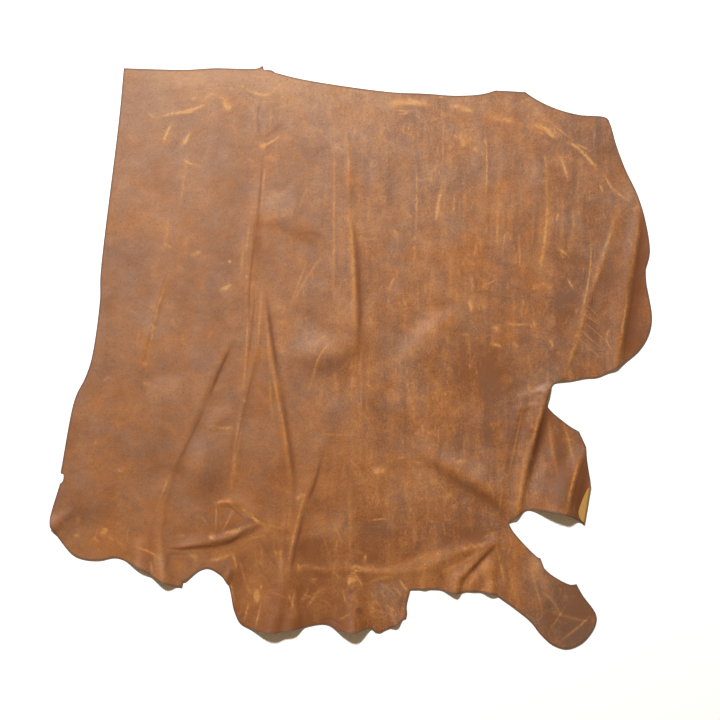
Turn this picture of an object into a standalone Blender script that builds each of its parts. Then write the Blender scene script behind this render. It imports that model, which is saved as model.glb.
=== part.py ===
"""Half of a waxed cowhide, laid out grain side up: one sheet of leather with its natural outline.

Metres, +Z up. The hide lies on z = 0, with the centre of its box over the origin, its back edge
towards +Y and its shank towards -Y. The outline and the folds are given as a tanner would measure
them on the table: in millimetres across (+X) and down (-Y) from the square-cut corner where the
back line meets the neck cut.
"""

import math
from collections import namedtuple

import bmesh
import bpy
import numpy as np
from mathutils import Vector
from mathutils.geometry import delaunay_2d_cdt

MM = 0.001

# Driving dimensions
THICKNESS = 2.0 * MM
EDGE_STEP = 10 * MM
FOLD_STEP = 20 * MM
FLAT_STEP = 60 * MM

# The corner of the hock flap turns up along this line and lies back over the grain side
TURN_TOP = (897, 803)
TURN_FOOT = (884, 879)
TURN_RADIUS = 3.5 * MM
TURN_ROW_STEPS = (0.0, 0.2, 0.4, 0.6, 0.8, 1.0)

# Leather colours
GRAIN_BROWN = (0.386, 0.174, 0.087, 1.0)
GRAIN_ROUGHNESS = 0.5

# Each stretch of the cut edge starts at a sharp corner and is a smooth curve from there to the
# corner of the next stretch, clockwise from the square-cut corner
Stretch = namedtuple("Stretch", "name points")

OUTLINE = (
    Stretch("back line", ((0, 0), (116, 3), (176, 0), (259, 0))),
    Stretch("knife nib", ((268, -5),)),
    Stretch("nib foot", ((270, 3), (284, 4))),
    Stretch("loin dip", ((293, 9), (347, 22), (513, 46), (579, 49), (640, 53), (691, 50))),
    Stretch("tail head", ((717, 43),)),
    Stretch("rump", ((774, 46), (795, 60), (833, 78), (878, 90), (931, 96), (938, 108), (949, 146),
                     (965, 190), (995, 256), (1014, 351))),
    Stretch("thigh notch", ((1006, 388), (1007, 410), (1018, 482), (1010, 518), (989, 549))),
    Stretch("pleat mouth", ((950, 579),)),
    Stretch("hock edge", ((943, 583), (914, 596), (891, 598), (860, 604), (840, 605), (826, 611),
                          (818, 632), (814, 648), (854, 686))),
    Stretch("hock point", ((878, 701),)),
    Stretch("hock side", ((891, 729), (892, 752))),
    Stretch("turned corner", ((901, 803), (908, 812), (910, 825), (911, 845), (910, 862),
                              (902, 873))),
    Stretch("hock hem", ((888, 880), (866, 867), (826, 855), (775, 853), (760, 864))),
    Stretch("armpit", ((742, 877), (752, 895), (799, 944))),
    Stretch("dew claw", ((803, 945),)),
    Stretch("shank front", ((810, 964), (823, 976), (861, 996))),
    Stretch("shank", ((873, 995), (884, 1015), (910, 1052), (911, 1067), (902, 1088), (881, 1110),
                      (854, 1120), (827, 1112), (804, 1092), (782, 1065), (729, 1024))),
    Stretch("belly", ((719, 1017), (700, 1011), (667, 1009), (639, 1013), (610, 1006))),
    Stretch("udder nick", ((552, 1006), (545, 1037), (546, 1050))),
    Stretch("udder frill", ((544, 1061),)),
    Stretch("udder", ((539, 1063), (526, 1074), (503, 1084), (493, 1089), (483, 1086), (476, 1079),
                      (444, 1088), (422, 1085), (386, 1072), (324, 1083), (284, 1088),
                      (251, 1083), (225, 1071), (213, 1048), (199, 992), (166, 965),
                      (149, 967))),
    Stretch("flank nib", ((119, 990),)),
    Stretch("flank nib foot", ((114, 991),)),
    Stretch("flank", ((112, 1001), (92, 998), (66, 986), (31, 964), (-14, 944), (-47, 949),
                      (-77, 947), (-98, 938))),
    Stretch("neck corner", ((-142, 885), (-142, 867))),
    Stretch("notch foot", ((-123, 801), (-118, 797), (-116, 786))),
    Stretch("notch roof", ((-117, 781),)),
    Stretch("neck cut", ((-122, 780), (-94, 637), (-75, 598), (-62, 560), (-46, 447), (-45, 399),
                         (-9, 96))),
)

# Each fold rises along a crest of (across, down, rise) and falls to the table on both sides, all in
# millimetres. Crests are listed upwards or to the right, so the left reach is on the neck or back
# side and the right reach is on the tail or belly side. Crispness runs from 0 for a rounded crest
# to 1 for a sharp one.
Fold = namedtuple("Fold", "name crest left_reach right_reach crispness", defaults=(0.0,))

FOLDS = (
    Fold("thigh pleat", ((948, 584, 4), (957, 515, 7), (968, 432, 8), (982, 341, 6),
                         (995, 254, 0)), 34, 30, 0.8),
    Fold("thigh crease", ((845, 600, 1.5), (870, 524, 2), (909, 412, 2), (951, 297, 0)),
         20, 12, 0.4),
    Fold("hock pleat", ((755, 868, 6), (766, 806, 8), (781, 744, 11), (796, 686, 13),
                        (813, 628, 9)), 28, 24, 0.8),
    Fold("hock cone", ((820, 858, 14), (824, 794, 9), (827, 727, 4), (827, 660, 0)), 44, 60),
    Fold("hock ridge", ((849, 866, 15), (860, 810, 12), (872, 768, 7), (887, 729, 0)),
         56, 40, 0.3),
    Fold("hock gather", ((733, 791, 0), (748, 717, 1.5), (762, 659, 2), (772, 625, 0)), 10, 12),
    Fold("hock brow", ((756, 638, 0), (779, 630, 1.5), (806, 623, 3), (824, 617, 3)), 12, 8, 0.4),
    Fold("hock brow foot", ((748, 662, 0), (766, 657, 1), (792, 650, 1), (806, 646, 0)), 9, 7),
    Fold("flank fold", ((78, 1012, 17), (72, 950, 8), (69, 900, 4), (75, 840, 0)), 34, 30, 0.2),
    Fold("flank hem", ((26, 987, 15), (29, 940, 5), (32, 905, 0)), 44, 44),
    Fold("flank crease", ((70, 900, 0), (85, 814, 1.5), (141, 663, 2.5), (177, 582, 3),
                          (212, 517, 1)), 84, 15, 0.4),
    Fold("flank swell", ((125, 850, 0), (138, 790, 2), (172, 700, 2), (205, 620, 0)), 26, 50),
    Fold("shoulder fold", ((203, 843, 0), (220, 679, 1), (243, 486, 1.5), (247, 331, 4),
                           (252, 290, 3.5), (264, 220, 0.7), (278, 139, 0)), 30, 24, 0.6),
    Fold("fork, neck leg", ((216, 791, 0.5), (233, 644, 1.5), (255, 544, 2), (266, 430, 0)),
         14, 12, 0.4),
    Fold("fork, rib leg", ((316, 890, 2), (323, 818, 4), (301, 659, 5), (283, 540, 5),
                           (267, 418, 0)), 20, 17, 0.5),
    Fold("rib crease", ((448, 552, 0), (448, 486, 4), (444, 389, 5), (436, 302, 4),
                        (426, 96, 0)), 30, 26, 0.7),
    Fold("brisket crease", ((85, 931, 0), (118, 924, 3), (166, 916, 4), (208, 906, 4),
                            (243, 889, 3), (266, 875, 1)), 26, 12, 0.7),
    Fold("brisket ridge", ((170, 846, 0), (201, 839, 1.5), (230, 841, 2), (258, 866, 2),
                           (320, 893, 0)), 20, 14, 0.5),
    Fold("brisket nick", ((195, 995, 4), (203, 978, 4), (212, 958, 0)), 8, 8),
    Fold("udder fold", ((280, 1103, 20), (297, 1037, 10), (316, 972, 5), (341, 848, 3),
                        (382, 748, 0)), 50, 60),
    Fold("udder side", ((326, 1098, 13), (328, 1040, 5), (332, 985, 0)), 30, 28),
    Fold("udder scallop", ((440, 1107, 23), (440, 1037, 9), (440, 972, 0)), 58, 58),
    Fold("udder frill", ((529, 1080, 7), (505, 1037, 0)), 16, 16),
    Fold("belly fold", ((637, 1026, 11), (646, 987, 7), (679, 953, 5), (731, 897, 0)),
         36, 15, 0.4),
    Fold("belly bulge", ((665, 1024, 0), (680, 990, 3), (705, 955, 3), (730, 925, 0)), 18, 26),
    Fold("belly scallop", ((704, 1026, 10), (708, 983, 5), (712, 949, 0)), 24, 22),
    Fold("belly flute", ((579, 1014, 3), (581, 983, 0)), 14, 14),
    Fold("belly ridge", ((336, 960, 0), (397, 964, 1.5), (552, 970, 2), (667, 927, 3),
                         (714, 916, 2)), 26, 34, 0.5),
    Fold("wither wave", ((246, 300, 0), (282, 289, 2.5), (320, 292, 3), (355, 316, 2.5),
                         (385, 350, 0)), 58, 30),
    Fold("rib wave", ((330, 556, 0), (368, 549, 3), (407, 544, 3), (460, 534, 0)), 44, 46),
    Fold("loin wave", ((532, 560, 0), (575, 528, 4), (622, 492, 4), (660, 463, 0)), 42, 62),
    Fold("groin wave", ((556, 733, 0), (610, 760, 4), (667, 791, 5), (745, 856, 0)), 44, 28),
    Fold("neck wave", ((42, 644, 0), (73, 625, 3), (108, 609, 2), (143, 594, 0)), 36, 42),
    Fold("chest wave", ((156, 702, 0), (189, 673, 2), (216, 655, 0)), 26, 26),
    Fold("neck crease", ((31, 586, 0), (46, 520, 3), (66, 447, 3), (81, 389, 0)), 12, 10),
    Fold("shank swell", ((853, 1088, 0), (826, 1026, 4), (799, 972, 4), (741, 891, 0)), 30, 30),
    Fold("neck corner", ((-145, 889, 6), (-120, 868, 3), (-93, 848, 0)), 24, 24),
)

# A fold is narrower where it is low: this share of its reach is left where its rise fades out
LOW_REACH_SHARE = 0.4
# Rows of points that each fold gets, as shares of its reach to the left and right of its crest
FOLD_ROWS = (-1.0, -0.55, 0.0, 0.55, 1.0)


def clear_scene():
    """Start from an empty scene."""
    for obj in list(bpy.data.objects):
        bpy.data.objects.remove(obj, do_unlink=True)


def on_table(across_down):
    """Points in metres for rows of (across, down) in millimetres."""
    rows = np.asarray(across_down, dtype=float)
    return np.column_stack((rows[:, 0], -rows[:, 1])) * MM


def smooth_curve(points, step):
    """Centripetal curve through the points, with its samples about one step apart."""
    points = np.asarray(points, dtype=float)
    first = 2 * points[0] - points[1]
    last = 2 * points[-1] - points[-2]
    knots = np.vstack((first, points, last))
    spans = np.sqrt(np.linalg.norm(np.diff(knots[:, :2], axis=0), axis=1))
    times = np.concatenate(([0.0], np.cumsum(spans)))
    samples = []
    for i in range(1, len(knots) - 2):
        length = np.linalg.norm(knots[i + 1, :2] - knots[i, :2])
        count = max(1, round(length / step))
        for t in np.linspace(times[i], times[i + 1], count, endpoint=False):
            samples.append(curve_point(knots[i - 1:i + 3], times[i - 1:i + 3], t))
    samples.append(points[-1])
    return np.array(samples)


def curve_point(knots, times, t):
    """Point of the curve at time t, blended in three rounds from four neighbouring knots."""
    level = list(knots)
    for spans in (((0, 1), (1, 2), (2, 3)), ((0, 2), (1, 3)), ((1, 2),)):
        for i, (start, end) in enumerate(spans):
            share = (t - times[start]) / (times[end] - times[start])
            level[i] = level[i] * (1 - share) + level[i + 1] * share
    return level[0]


def cut_edge():
    """The closed outline of the hide as laid flat, before its corner turns over."""
    corners = [on_table(stretch.points) for stretch in OUTLINE]
    loop = []
    for i, corner in enumerate(corners):
        following = corners[(i + 1) % len(corners)][:1]
        loop.extend(smooth_curve(np.vstack((corner, following)), EDGE_STEP)[:-1])
    return np.array(loop)


def crest_line(fold):
    """Samples of a fold's crest as x, y and rise, in metres."""
    crest = np.asarray(fold.crest, dtype=float)
    line = np.column_stack((on_table(crest[:, :2]), crest[:, 2] * MM))
    return smooth_curve(line, FOLD_STEP)


def reaches(fold, rise):
    """Left and right reach of a fold where its crest has the given rise."""
    full = max(row[2] for row in fold.crest) * MM
    share = LOW_REACH_SHARE + (1 - LOW_REACH_SHARE) * np.clip(rise / full, 0, 1)
    return fold.left_reach * MM * share, fold.right_reach * MM * share


def fold_height(fold, points):
    """Height of one fold at each point, from its crest down to the table.

    A rounded crest falls as a half cosine and a sharp one as (1 - t) squared, where t is the
    distance over the reach, and the fold's crispness blends the two.
    """
    crest = crest_line(fold)
    start = crest[:-1, :2]
    along = crest[1:, :2] - start
    offset = points[:, None, :] - start[None]
    share = (offset * along).sum(axis=2) / (along ** 2).sum(axis=1)
    share = np.clip(share, 0, 1)
    gap = offset - share[..., None] * along
    distance = np.linalg.norm(gap, axis=2)
    nearest = distance.argmin(axis=1)
    row = np.arange(len(points))
    at = share[row, nearest]
    rise = crest[nearest, 2] * (1 - at) + crest[nearest + 1, 2] * at
    rise = np.maximum(rise, 0)
    side = along[nearest, 0] * offset[row, nearest, 1] - along[nearest, 1] * offset[row, nearest, 0]
    left, right = reaches(fold, rise)
    reach = np.where(side > 0, left, right)
    slope = np.clip(distance[row, nearest] / reach, 0, 1)
    rounded = 0.5 + 0.5 * np.cos(math.pi * slope)
    return rise * (rounded + fold.crispness * ((1 - slope) ** 2 - rounded))


def lift(points):
    """Height of the flesh side over the table at each point of the flat pattern."""
    return sum(fold_height(fold, points) for fold in FOLDS)


def fold_points():
    """Rows of points along each fold: on its crest, on its flanks and where it meets the table."""
    rows = []
    for fold in FOLDS:
        crest = crest_line(fold)
        along = np.gradient(crest[:, :2], axis=0)
        along /= np.linalg.norm(along, axis=1)[:, None]
        leftward = np.column_stack((-along[:, 1], along[:, 0]))
        left, right = reaches(fold, crest[:, 2])
        for share in sorted(FOLD_ROWS, key=abs):
            reach = right if share > 0 else left
            rows.append(crest[:, :2] - leftward * (share * reach)[:, None])
    return np.vstack(rows)


def turn_frame():
    """Start, direction and outward normal of the line along which the corner turns over."""
    top, foot = on_table((TURN_TOP, TURN_FOOT))
    along = (foot - top) / np.linalg.norm(foot - top)
    outward = np.array((-along[1], along[0]))
    return top, along, outward


def turn_points():
    """Rows of points across the turned corner, close together where the leather bends."""
    top, along, outward = turn_frame()
    length = np.linalg.norm(on_table((TURN_FOOT,))[0] - top)
    down = np.arange(0, length, EDGE_STEP)
    bend = math.pi * TURN_RADIUS
    across = [bend * share for share in TURN_ROW_STEPS] + [bend + EDGE_STEP / 2]
    rows = [top + along * down[:, None] + outward * offset for offset in across]
    return np.vstack(rows)


def flat_points(low, high):
    """A wide grid of points over the whole pattern."""
    x = np.arange(low[0], high[0], FLAT_STEP)
    y = np.arange(low[1], high[1], FLAT_STEP)
    grid_x, grid_y = np.meshgrid(x, y)
    grid_x[1::2] += FLAT_STEP / 2
    return np.column_stack((grid_x.ravel(), grid_y.ravel()))


def inside(loop, points):
    """True for each point within the closed outline, by counting the edges that a ray crosses."""
    start = loop
    end = np.roll(loop, -1, axis=0)
    x, y = points[:, 0][:, None], points[:, 1][:, None]
    spans = (start[:, 1] > y) != (end[:, 1] > y)
    rise = np.where(end[:, 1] == start[:, 1], 1.0, end[:, 1] - start[:, 1])
    crossing = start[:, 0] + (y - start[:, 1]) / rise * (end[:, 0] - start[:, 0])
    return (spans & (x < crossing)).sum(axis=1) % 2 == 1


def spaced(kept, candidates, gap):
    """The kept points and each candidate that lies no closer than the gap to a point before it."""
    kept = list(kept)
    for point in candidates:
        near = np.linalg.norm(np.array(kept) - point, axis=1).min()
        if near >= gap:
            kept.append(point)
    return kept


def pattern_mesh():
    """The flat pattern as points and triangles, finest along the cut edge, folds and bend."""
    loop = cut_edge()
    edge_count = len(loop)
    fine_gap = 1.8 * MM
    fold_gap = 5.5 * MM
    flat_gap = 28 * MM
    points = list(loop)
    for rows, gap in ((turn_points(), fine_gap), (fold_points(), fold_gap),
                      (flat_points(loop.min(axis=0), loop.max(axis=0)), flat_gap)):
        points = spaced(points, rows[inside(loop, rows)], gap)
    vectors = [Vector(point) for point in points]
    boundary = list(range(edge_count))
    found = delaunay_2d_cdt(vectors, [], [boundary], 1, 1e-7)
    return np.array([tuple(v) for v in found[0]]), found[2]


def laid_out(pattern):
    """Place the flat pattern on the table: raise its folds and turn its corner over."""
    top, along, outward = turn_frame()
    past = (pattern - top) @ outward
    down = (pattern - top) @ along
    length = np.linalg.norm(on_table((TURN_FOOT,))[0] - top)
    bent = (past > 0) & (down > -EDGE_STEP) & (down < length + EDGE_STEP)
    past = np.where(bent, past, 0)
    foot = pattern - outward * past[:, None]
    angle = np.minimum(past / TURN_RADIUS, math.pi)
    beyond = past - angle * TURN_RADIUS
    reach = TURN_RADIUS * np.sin(angle) - beyond
    height = lift(foot) + TURN_RADIUS * (1 - np.cos(angle))
    flat = foot + outward * np.where(bent, reach, 0)[:, None]
    return np.column_stack((flat, height))


def leather_material():
    """Brown waxed leather."""
    material = bpy.data.materials.new("waxed_leather")
    material.use_nodes = True
    shader = material.node_tree.nodes["Principled BSDF"]
    shader.inputs["Base Color"].default_value = GRAIN_BROWN
    shader.inputs["Roughness"].default_value = GRAIN_ROUGHNESS
    shader.inputs["Metallic"].default_value = 0.0
    material.diffuse_color = GRAIN_BROWN
    return material


def make_hide():
    """The hide: its flesh side as modelled, and its grain side one thickness above it."""
    pattern, faces = pattern_mesh()
    places = laid_out(pattern)
    middle = (places[:, :2].min(axis=0) + places[:, :2].max(axis=0)) / 2
    places[:, :2] -= middle
    mesh = bpy.data.meshes.new("hide")
    mesh.from_pydata(places.tolist(), [], [list(face) for face in faces])
    sheet = bmesh.new()
    sheet.from_mesh(mesh)
    sheet.normal_update()
    if sum(face.normal.z for face in sheet.faces) < 0:
        bmesh.ops.reverse_faces(sheet, faces=sheet.faces)
    for face in sheet.faces:
        face.smooth = True
    for edge in sheet.edges:
        edge.smooth = not edge.is_boundary
    sheet.to_mesh(mesh)
    sheet.free()
    hide = bpy.data.objects.new("hide", mesh)
    bpy.context.scene.collection.objects.link(hide)
    hide.data.materials.append(leather_material())
    thicken = hide.modifiers.new("thickness", "SOLIDIFY")
    thicken.thickness = THICKNESS
    thicken.offset = 1.0
    thicken.use_rim = True
    return hide


clear_scene()
make_hide()
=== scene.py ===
"""Half of a side of waxed cow leather, laid grain side up in its folds, dressed for its picture.

All sizes are in metres unless a name says millimetres. Places on the hide are given as a tanner
measures them on the table: millimetres across (+X) and down (-Y) from the square-cut corner where
the back line meets the neck cut.
"""

import logging
import math
from dataclasses import dataclass, field
from enum import Enum
from typing import Any, Sequence

import bpy
import numpy as np
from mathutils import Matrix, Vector
from mathutils.geometry import delaunay_2d_cdt


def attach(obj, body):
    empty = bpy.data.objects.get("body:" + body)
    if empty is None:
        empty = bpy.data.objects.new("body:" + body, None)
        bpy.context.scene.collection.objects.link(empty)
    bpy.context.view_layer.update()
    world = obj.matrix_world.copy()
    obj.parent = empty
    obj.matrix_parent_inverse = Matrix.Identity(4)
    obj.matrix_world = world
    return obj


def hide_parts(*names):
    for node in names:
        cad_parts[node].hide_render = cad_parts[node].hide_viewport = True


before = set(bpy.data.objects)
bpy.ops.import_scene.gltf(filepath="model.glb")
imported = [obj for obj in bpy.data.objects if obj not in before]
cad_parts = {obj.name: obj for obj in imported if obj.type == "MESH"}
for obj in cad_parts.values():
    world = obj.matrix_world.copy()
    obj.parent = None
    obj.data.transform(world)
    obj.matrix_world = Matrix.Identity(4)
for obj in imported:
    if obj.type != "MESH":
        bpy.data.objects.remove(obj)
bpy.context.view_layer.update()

LOG = logging.getLogger("cowhide")
MM = 0.001
NODE = "hide"
BODY = "root"
INSIDE_ONLY = 1
NOISE_MEAN = 0.5

Colour = tuple[float, float, float, float]
Rows = Sequence[Sequence[float]]


class Side(Enum):
    """The faces of the leather, by material slot of the finished piece."""

    GRAIN = 0
    FLESH = 1
    CUT = 2


def on_table(across_down: Rows) -> np.ndarray:
    """Turn rows of millimetres across and down into metres in X and Y.

    Args:
        across_down: rows that start with across and down, in millimetres.

    Returns:
        One row of X and Y for each row given, from the square-cut corner.
    """
    rows = np.asarray(across_down, dtype=float)
    return np.column_stack((rows[:, 0], -rows[:, 1])) * MM


def smooth_curve(knots: np.ndarray, step: float) -> np.ndarray:
    """Draw a centripetal curve through knots: three rounds of blends between four neighbours.

    The parameter of each knot grows by the square root of the distance from the one before it.

    Args:
        knots: rows whose first two values are X and Y; any others are blended along.
        step: distance in metres between samples, roughly.

    Returns:
        The samples, from the first knot to the last.
    """
    knots = np.asarray(knots, dtype=float)
    knots = np.vstack((2 * knots[0] - knots[1], knots, 2 * knots[-1] - knots[-2]))
    gaps = np.linalg.norm(np.diff(knots[:, :2], axis=0), axis=1)
    times = np.concatenate(([0.0], np.cumsum(np.sqrt(gaps))))
    samples = []
    for i in range(1, len(knots) - 2):
        count = max(1, round(gaps[i] / step))
        t = np.linspace(times[i], times[i + 1], count, endpoint=False)[:, None]
        level = [knots[i + k] for k in range(-1, 3)]
        for spans in (((-1, 0), (0, 1), (1, 2)), ((-1, 1), (0, 2)), ((0, 1),)):
            blended = []
            for k, (start, end) in enumerate(spans):
                share = (t - times[i + start]) / (times[i + end] - times[i + start])
                blended.append(level[k] * (1 - share) + level[k + 1] * share)
            level = blended
        samples.append(level[0])
    return np.vstack(samples + [knots[-2][None]])


@dataclass(frozen=True)
class Nearest:
    """What lies closest to each point on a line: signed distance, place along it and values."""

    distance: np.ndarray
    along: np.ndarray
    values: np.ndarray


def nearest_on(line: np.ndarray, points: np.ndarray) -> Nearest:
    """Find the closest place on a line of straight steps for each point.

    Args:
        line: rows of X, Y and any further values, which are read off at the closest place.
        points: rows of X and Y.

    Returns:
        Distance in metres, positive on the left of the line's direction; the place along the line
        from 0 to 1; and the line's further values there.
    """
    start = line[:-1, :2]
    run = line[1:, :2] - start
    length = np.linalg.norm(run, axis=1)
    best = np.full(len(points), np.inf)
    side = np.zeros(len(points))
    along = np.zeros(len(points))
    values = np.zeros((len(points), line.shape[1] - 2))
    before = np.concatenate(([0.0], np.cumsum(length)))
    for i in range(len(run)):
        offset = points - start[i]
        share = np.clip(offset @ run[i] / length[i] ** 2, 0, 1)
        gap = np.linalg.norm(offset - share[:, None] * run[i], axis=1)
        closer = gap < best
        best = np.where(closer, gap, best)
        cross = run[i, 0] * offset[:, 1] - run[i, 1] * offset[:, 0]
        side = np.where(closer, np.where(cross > 0, 1.0, -1.0), side)
        along = np.where(closer, (before[i] + share * length[i]) / before[-1], along)
        mixed = line[i, 2:] * (1 - share[:, None]) + line[i + 1, 2:] * share[:, None]
        values = np.where(closer[:, None], mixed, values)
    return Nearest(best * side, along, values)


@dataclass(frozen=True)
class Stretch:
    """A smooth stretch of the cut edge, from its sharp first corner to the next stretch's."""

    name: str
    points: tuple


@dataclass(frozen=True)
class Fold:
    """A fold of the leather: a crest that falls to the table on each side.

    The crest is listed upwards or to the right, as (across, down, rise) in millimetres, so the
    left reach is on the neck or back side and the right reach on the tail or belly side. Crispness
    goes from 0 for a rounded crest to 1 for a sharp one.
    """

    name: str
    crest: tuple
    left_reach: float
    right_reach: float
    crispness: float = 0.0

    LOW_REACH_SHARE = 0.4
    CREST_SHARE = 0.45
    PALE_RISE = 5 * MM
    STEP = 12 * MM

    def shape(self, points: np.ndarray) -> tuple[np.ndarray, np.ndarray]:
        """Work out the fold's height at each point and how close the point is to its crest.

        Height is the crest's rise times a profile of t = distance / reach, and the reach shrinks
        to a share of itself where the rise fades out. The profile blends by crispness between a
        rounded crest, (1 + cos(pi * t)) / 2, and a sharp one, (1 - t) squared.

        Args:
            points: X and Y in metres from the square-cut corner.

        Returns:
            Height in metres, and closeness to the crest from 0 to 1, each per point.
        """
        crest = np.asarray(self.crest, dtype=float)
        line = smooth_curve(np.column_stack((on_table(crest), crest[:, 2] * MM)), self.STEP)
        widest = max(self.left_reach, self.right_reach) * MM
        height = np.zeros(len(points))
        closeness = np.zeros(len(points))
        low, high = line[:, :2].min(axis=0) - widest, line[:, :2].max(axis=0) + widest
        close = np.flatnonzero(((points > low) & (points < high)).all(axis=1))
        found = nearest_on(line, points[close])
        rise = np.maximum(found.values[:, 0], 0)
        full = crest[:, 2].max() * MM
        share = self.LOW_REACH_SHARE + (1 - self.LOW_REACH_SHARE) * np.clip(rise / full, 0, 1)
        reach = np.where(found.distance > 0, self.left_reach, self.right_reach) * MM * share
        fall = np.clip(np.abs(found.distance) / reach, 0, 1)
        rounded = 0.5 + 0.5 * np.cos(math.pi * fall)
        height[close] = rise * (rounded + self.crispness * ((1 - fall) ** 2 - rounded))
        near_crest = np.clip(1 - fall / self.CREST_SHARE, 0, 1)
        closeness[close] = near_crest ** 2 * np.clip(rise / self.PALE_RISE, 0, 1)
        return height, closeness


@dataclass(frozen=True)
class Strokes:
    """Thin marks of one region, each as its line, half width in millimetres and strength."""

    name: str
    rows: tuple


@dataclass(frozen=True)
class Patch:
    """A soft oval patch of tone, from -1 dark to 1 pale, and warmth, from -1 pink to 1 orange.

    Its place and radii are in millimetres, and its turn is clockwise in degrees. The tone of many patches
    is painted light and shade of the folds, not the leather's own tone.
    """

    name: str
    across: float
    down: float
    radius_across: float
    radius_down: float
    turn: float
    tone: float
    warmth: float

    def share(self, points: np.ndarray) -> np.ndarray:
        """Share of the patch at each point: exp(-r squared), where r is 1 at its radii.

        Args:
            points: X and Y in metres from the square-cut corner.

        Returns:
            The share from 0 to 1, per point.
        """
        offset = points - on_table(((self.across, self.down),))
        angle = math.radians(self.turn)
        along = offset[:, 0] * math.cos(angle) - offset[:, 1] * math.sin(angle)
        aside = offset[:, 0] * math.sin(angle) + offset[:, 1] * math.cos(angle)
        radius = (along / (self.radius_across * MM)) ** 2 + (aside / (self.radius_down * MM)) ** 2
        return np.exp(-radius)


OUTLINE = (
    Stretch("back line", ((0, 0), (116, 3), (176, 0), (259, 0))),
    Stretch("knife nib", ((268, -5),)),
    Stretch("nib foot", ((270, 3), (284, 4))),
    Stretch("loin dip", ((293, 9), (347, 22), (513, 46), (579, 49), (640, 53), (691, 50))),
    Stretch("tail head", ((717, 43),)),
    Stretch("rump", ((774, 46), (795, 60), (833, 78), (878, 90), (931, 96), (938, 108), (949, 146),
                     (965, 190), (995, 256), (1014, 351))),
    Stretch("thigh notch", ((1006, 388), (1007, 410), (1018, 482), (1010, 518), (989, 549))),
    Stretch("pleat mouth", ((950, 579),)),
    Stretch("hock edge", ((943, 583), (914, 596), (891, 598), (860, 604), (840, 605), (826, 611),
                          (818, 632), (814, 648), (854, 686))),
    Stretch("hock point", ((878, 701),)),
    Stretch("hock side", ((891, 729), (892, 752))),
    Stretch("turned corner", ((901, 803), (908, 812), (910, 825), (911, 845), (910, 862),
                              (902, 873))),
    Stretch("hock hem", ((888, 880), (866, 867), (826, 855), (775, 853), (760, 864))),
    Stretch("armpit", ((742, 877), (752, 895), (799, 944))),
    Stretch("dew claw", ((803, 945),)),
    Stretch("shank front", ((810, 964), (823, 976), (861, 996))),
    Stretch("shank", ((873, 995), (884, 1015), (910, 1052), (911, 1067), (902, 1088), (881, 1110),
                      (854, 1120), (827, 1112), (804, 1092), (782, 1065), (729, 1024))),
    Stretch("belly", ((719, 1017), (700, 1011), (667, 1009), (639, 1013), (610, 1006))),
    Stretch("udder nick", ((552, 1006), (545, 1037), (546, 1050))),
    Stretch("udder frill", ((544, 1061),)),
    Stretch("udder", ((539, 1063), (526, 1074), (503, 1084), (493, 1089), (483, 1086), (476, 1079),
                      (444, 1088), (422, 1085), (386, 1072), (324, 1083), (284, 1088),
                      (251, 1083), (225, 1071), (213, 1048), (199, 992), (166, 965),
                      (149, 967))),
    Stretch("flank nib", ((119, 990),)),
    Stretch("flank nib foot", ((114, 991),)),
    Stretch("flank", ((112, 1001), (92, 998), (66, 986), (31, 964), (-14, 944), (-47, 949),
                      (-77, 947), (-98, 938))),
    Stretch("neck corner", ((-142, 885), (-142, 867))),
    Stretch("notch foot", ((-123, 801), (-118, 797), (-116, 786))),
    Stretch("notch roof", ((-117, 781),)),
    Stretch("neck cut", ((-122, 780), (-94, 637), (-75, 598), (-62, 560), (-46, 447), (-45, 399),
                         (-9, 96))),
)

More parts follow.
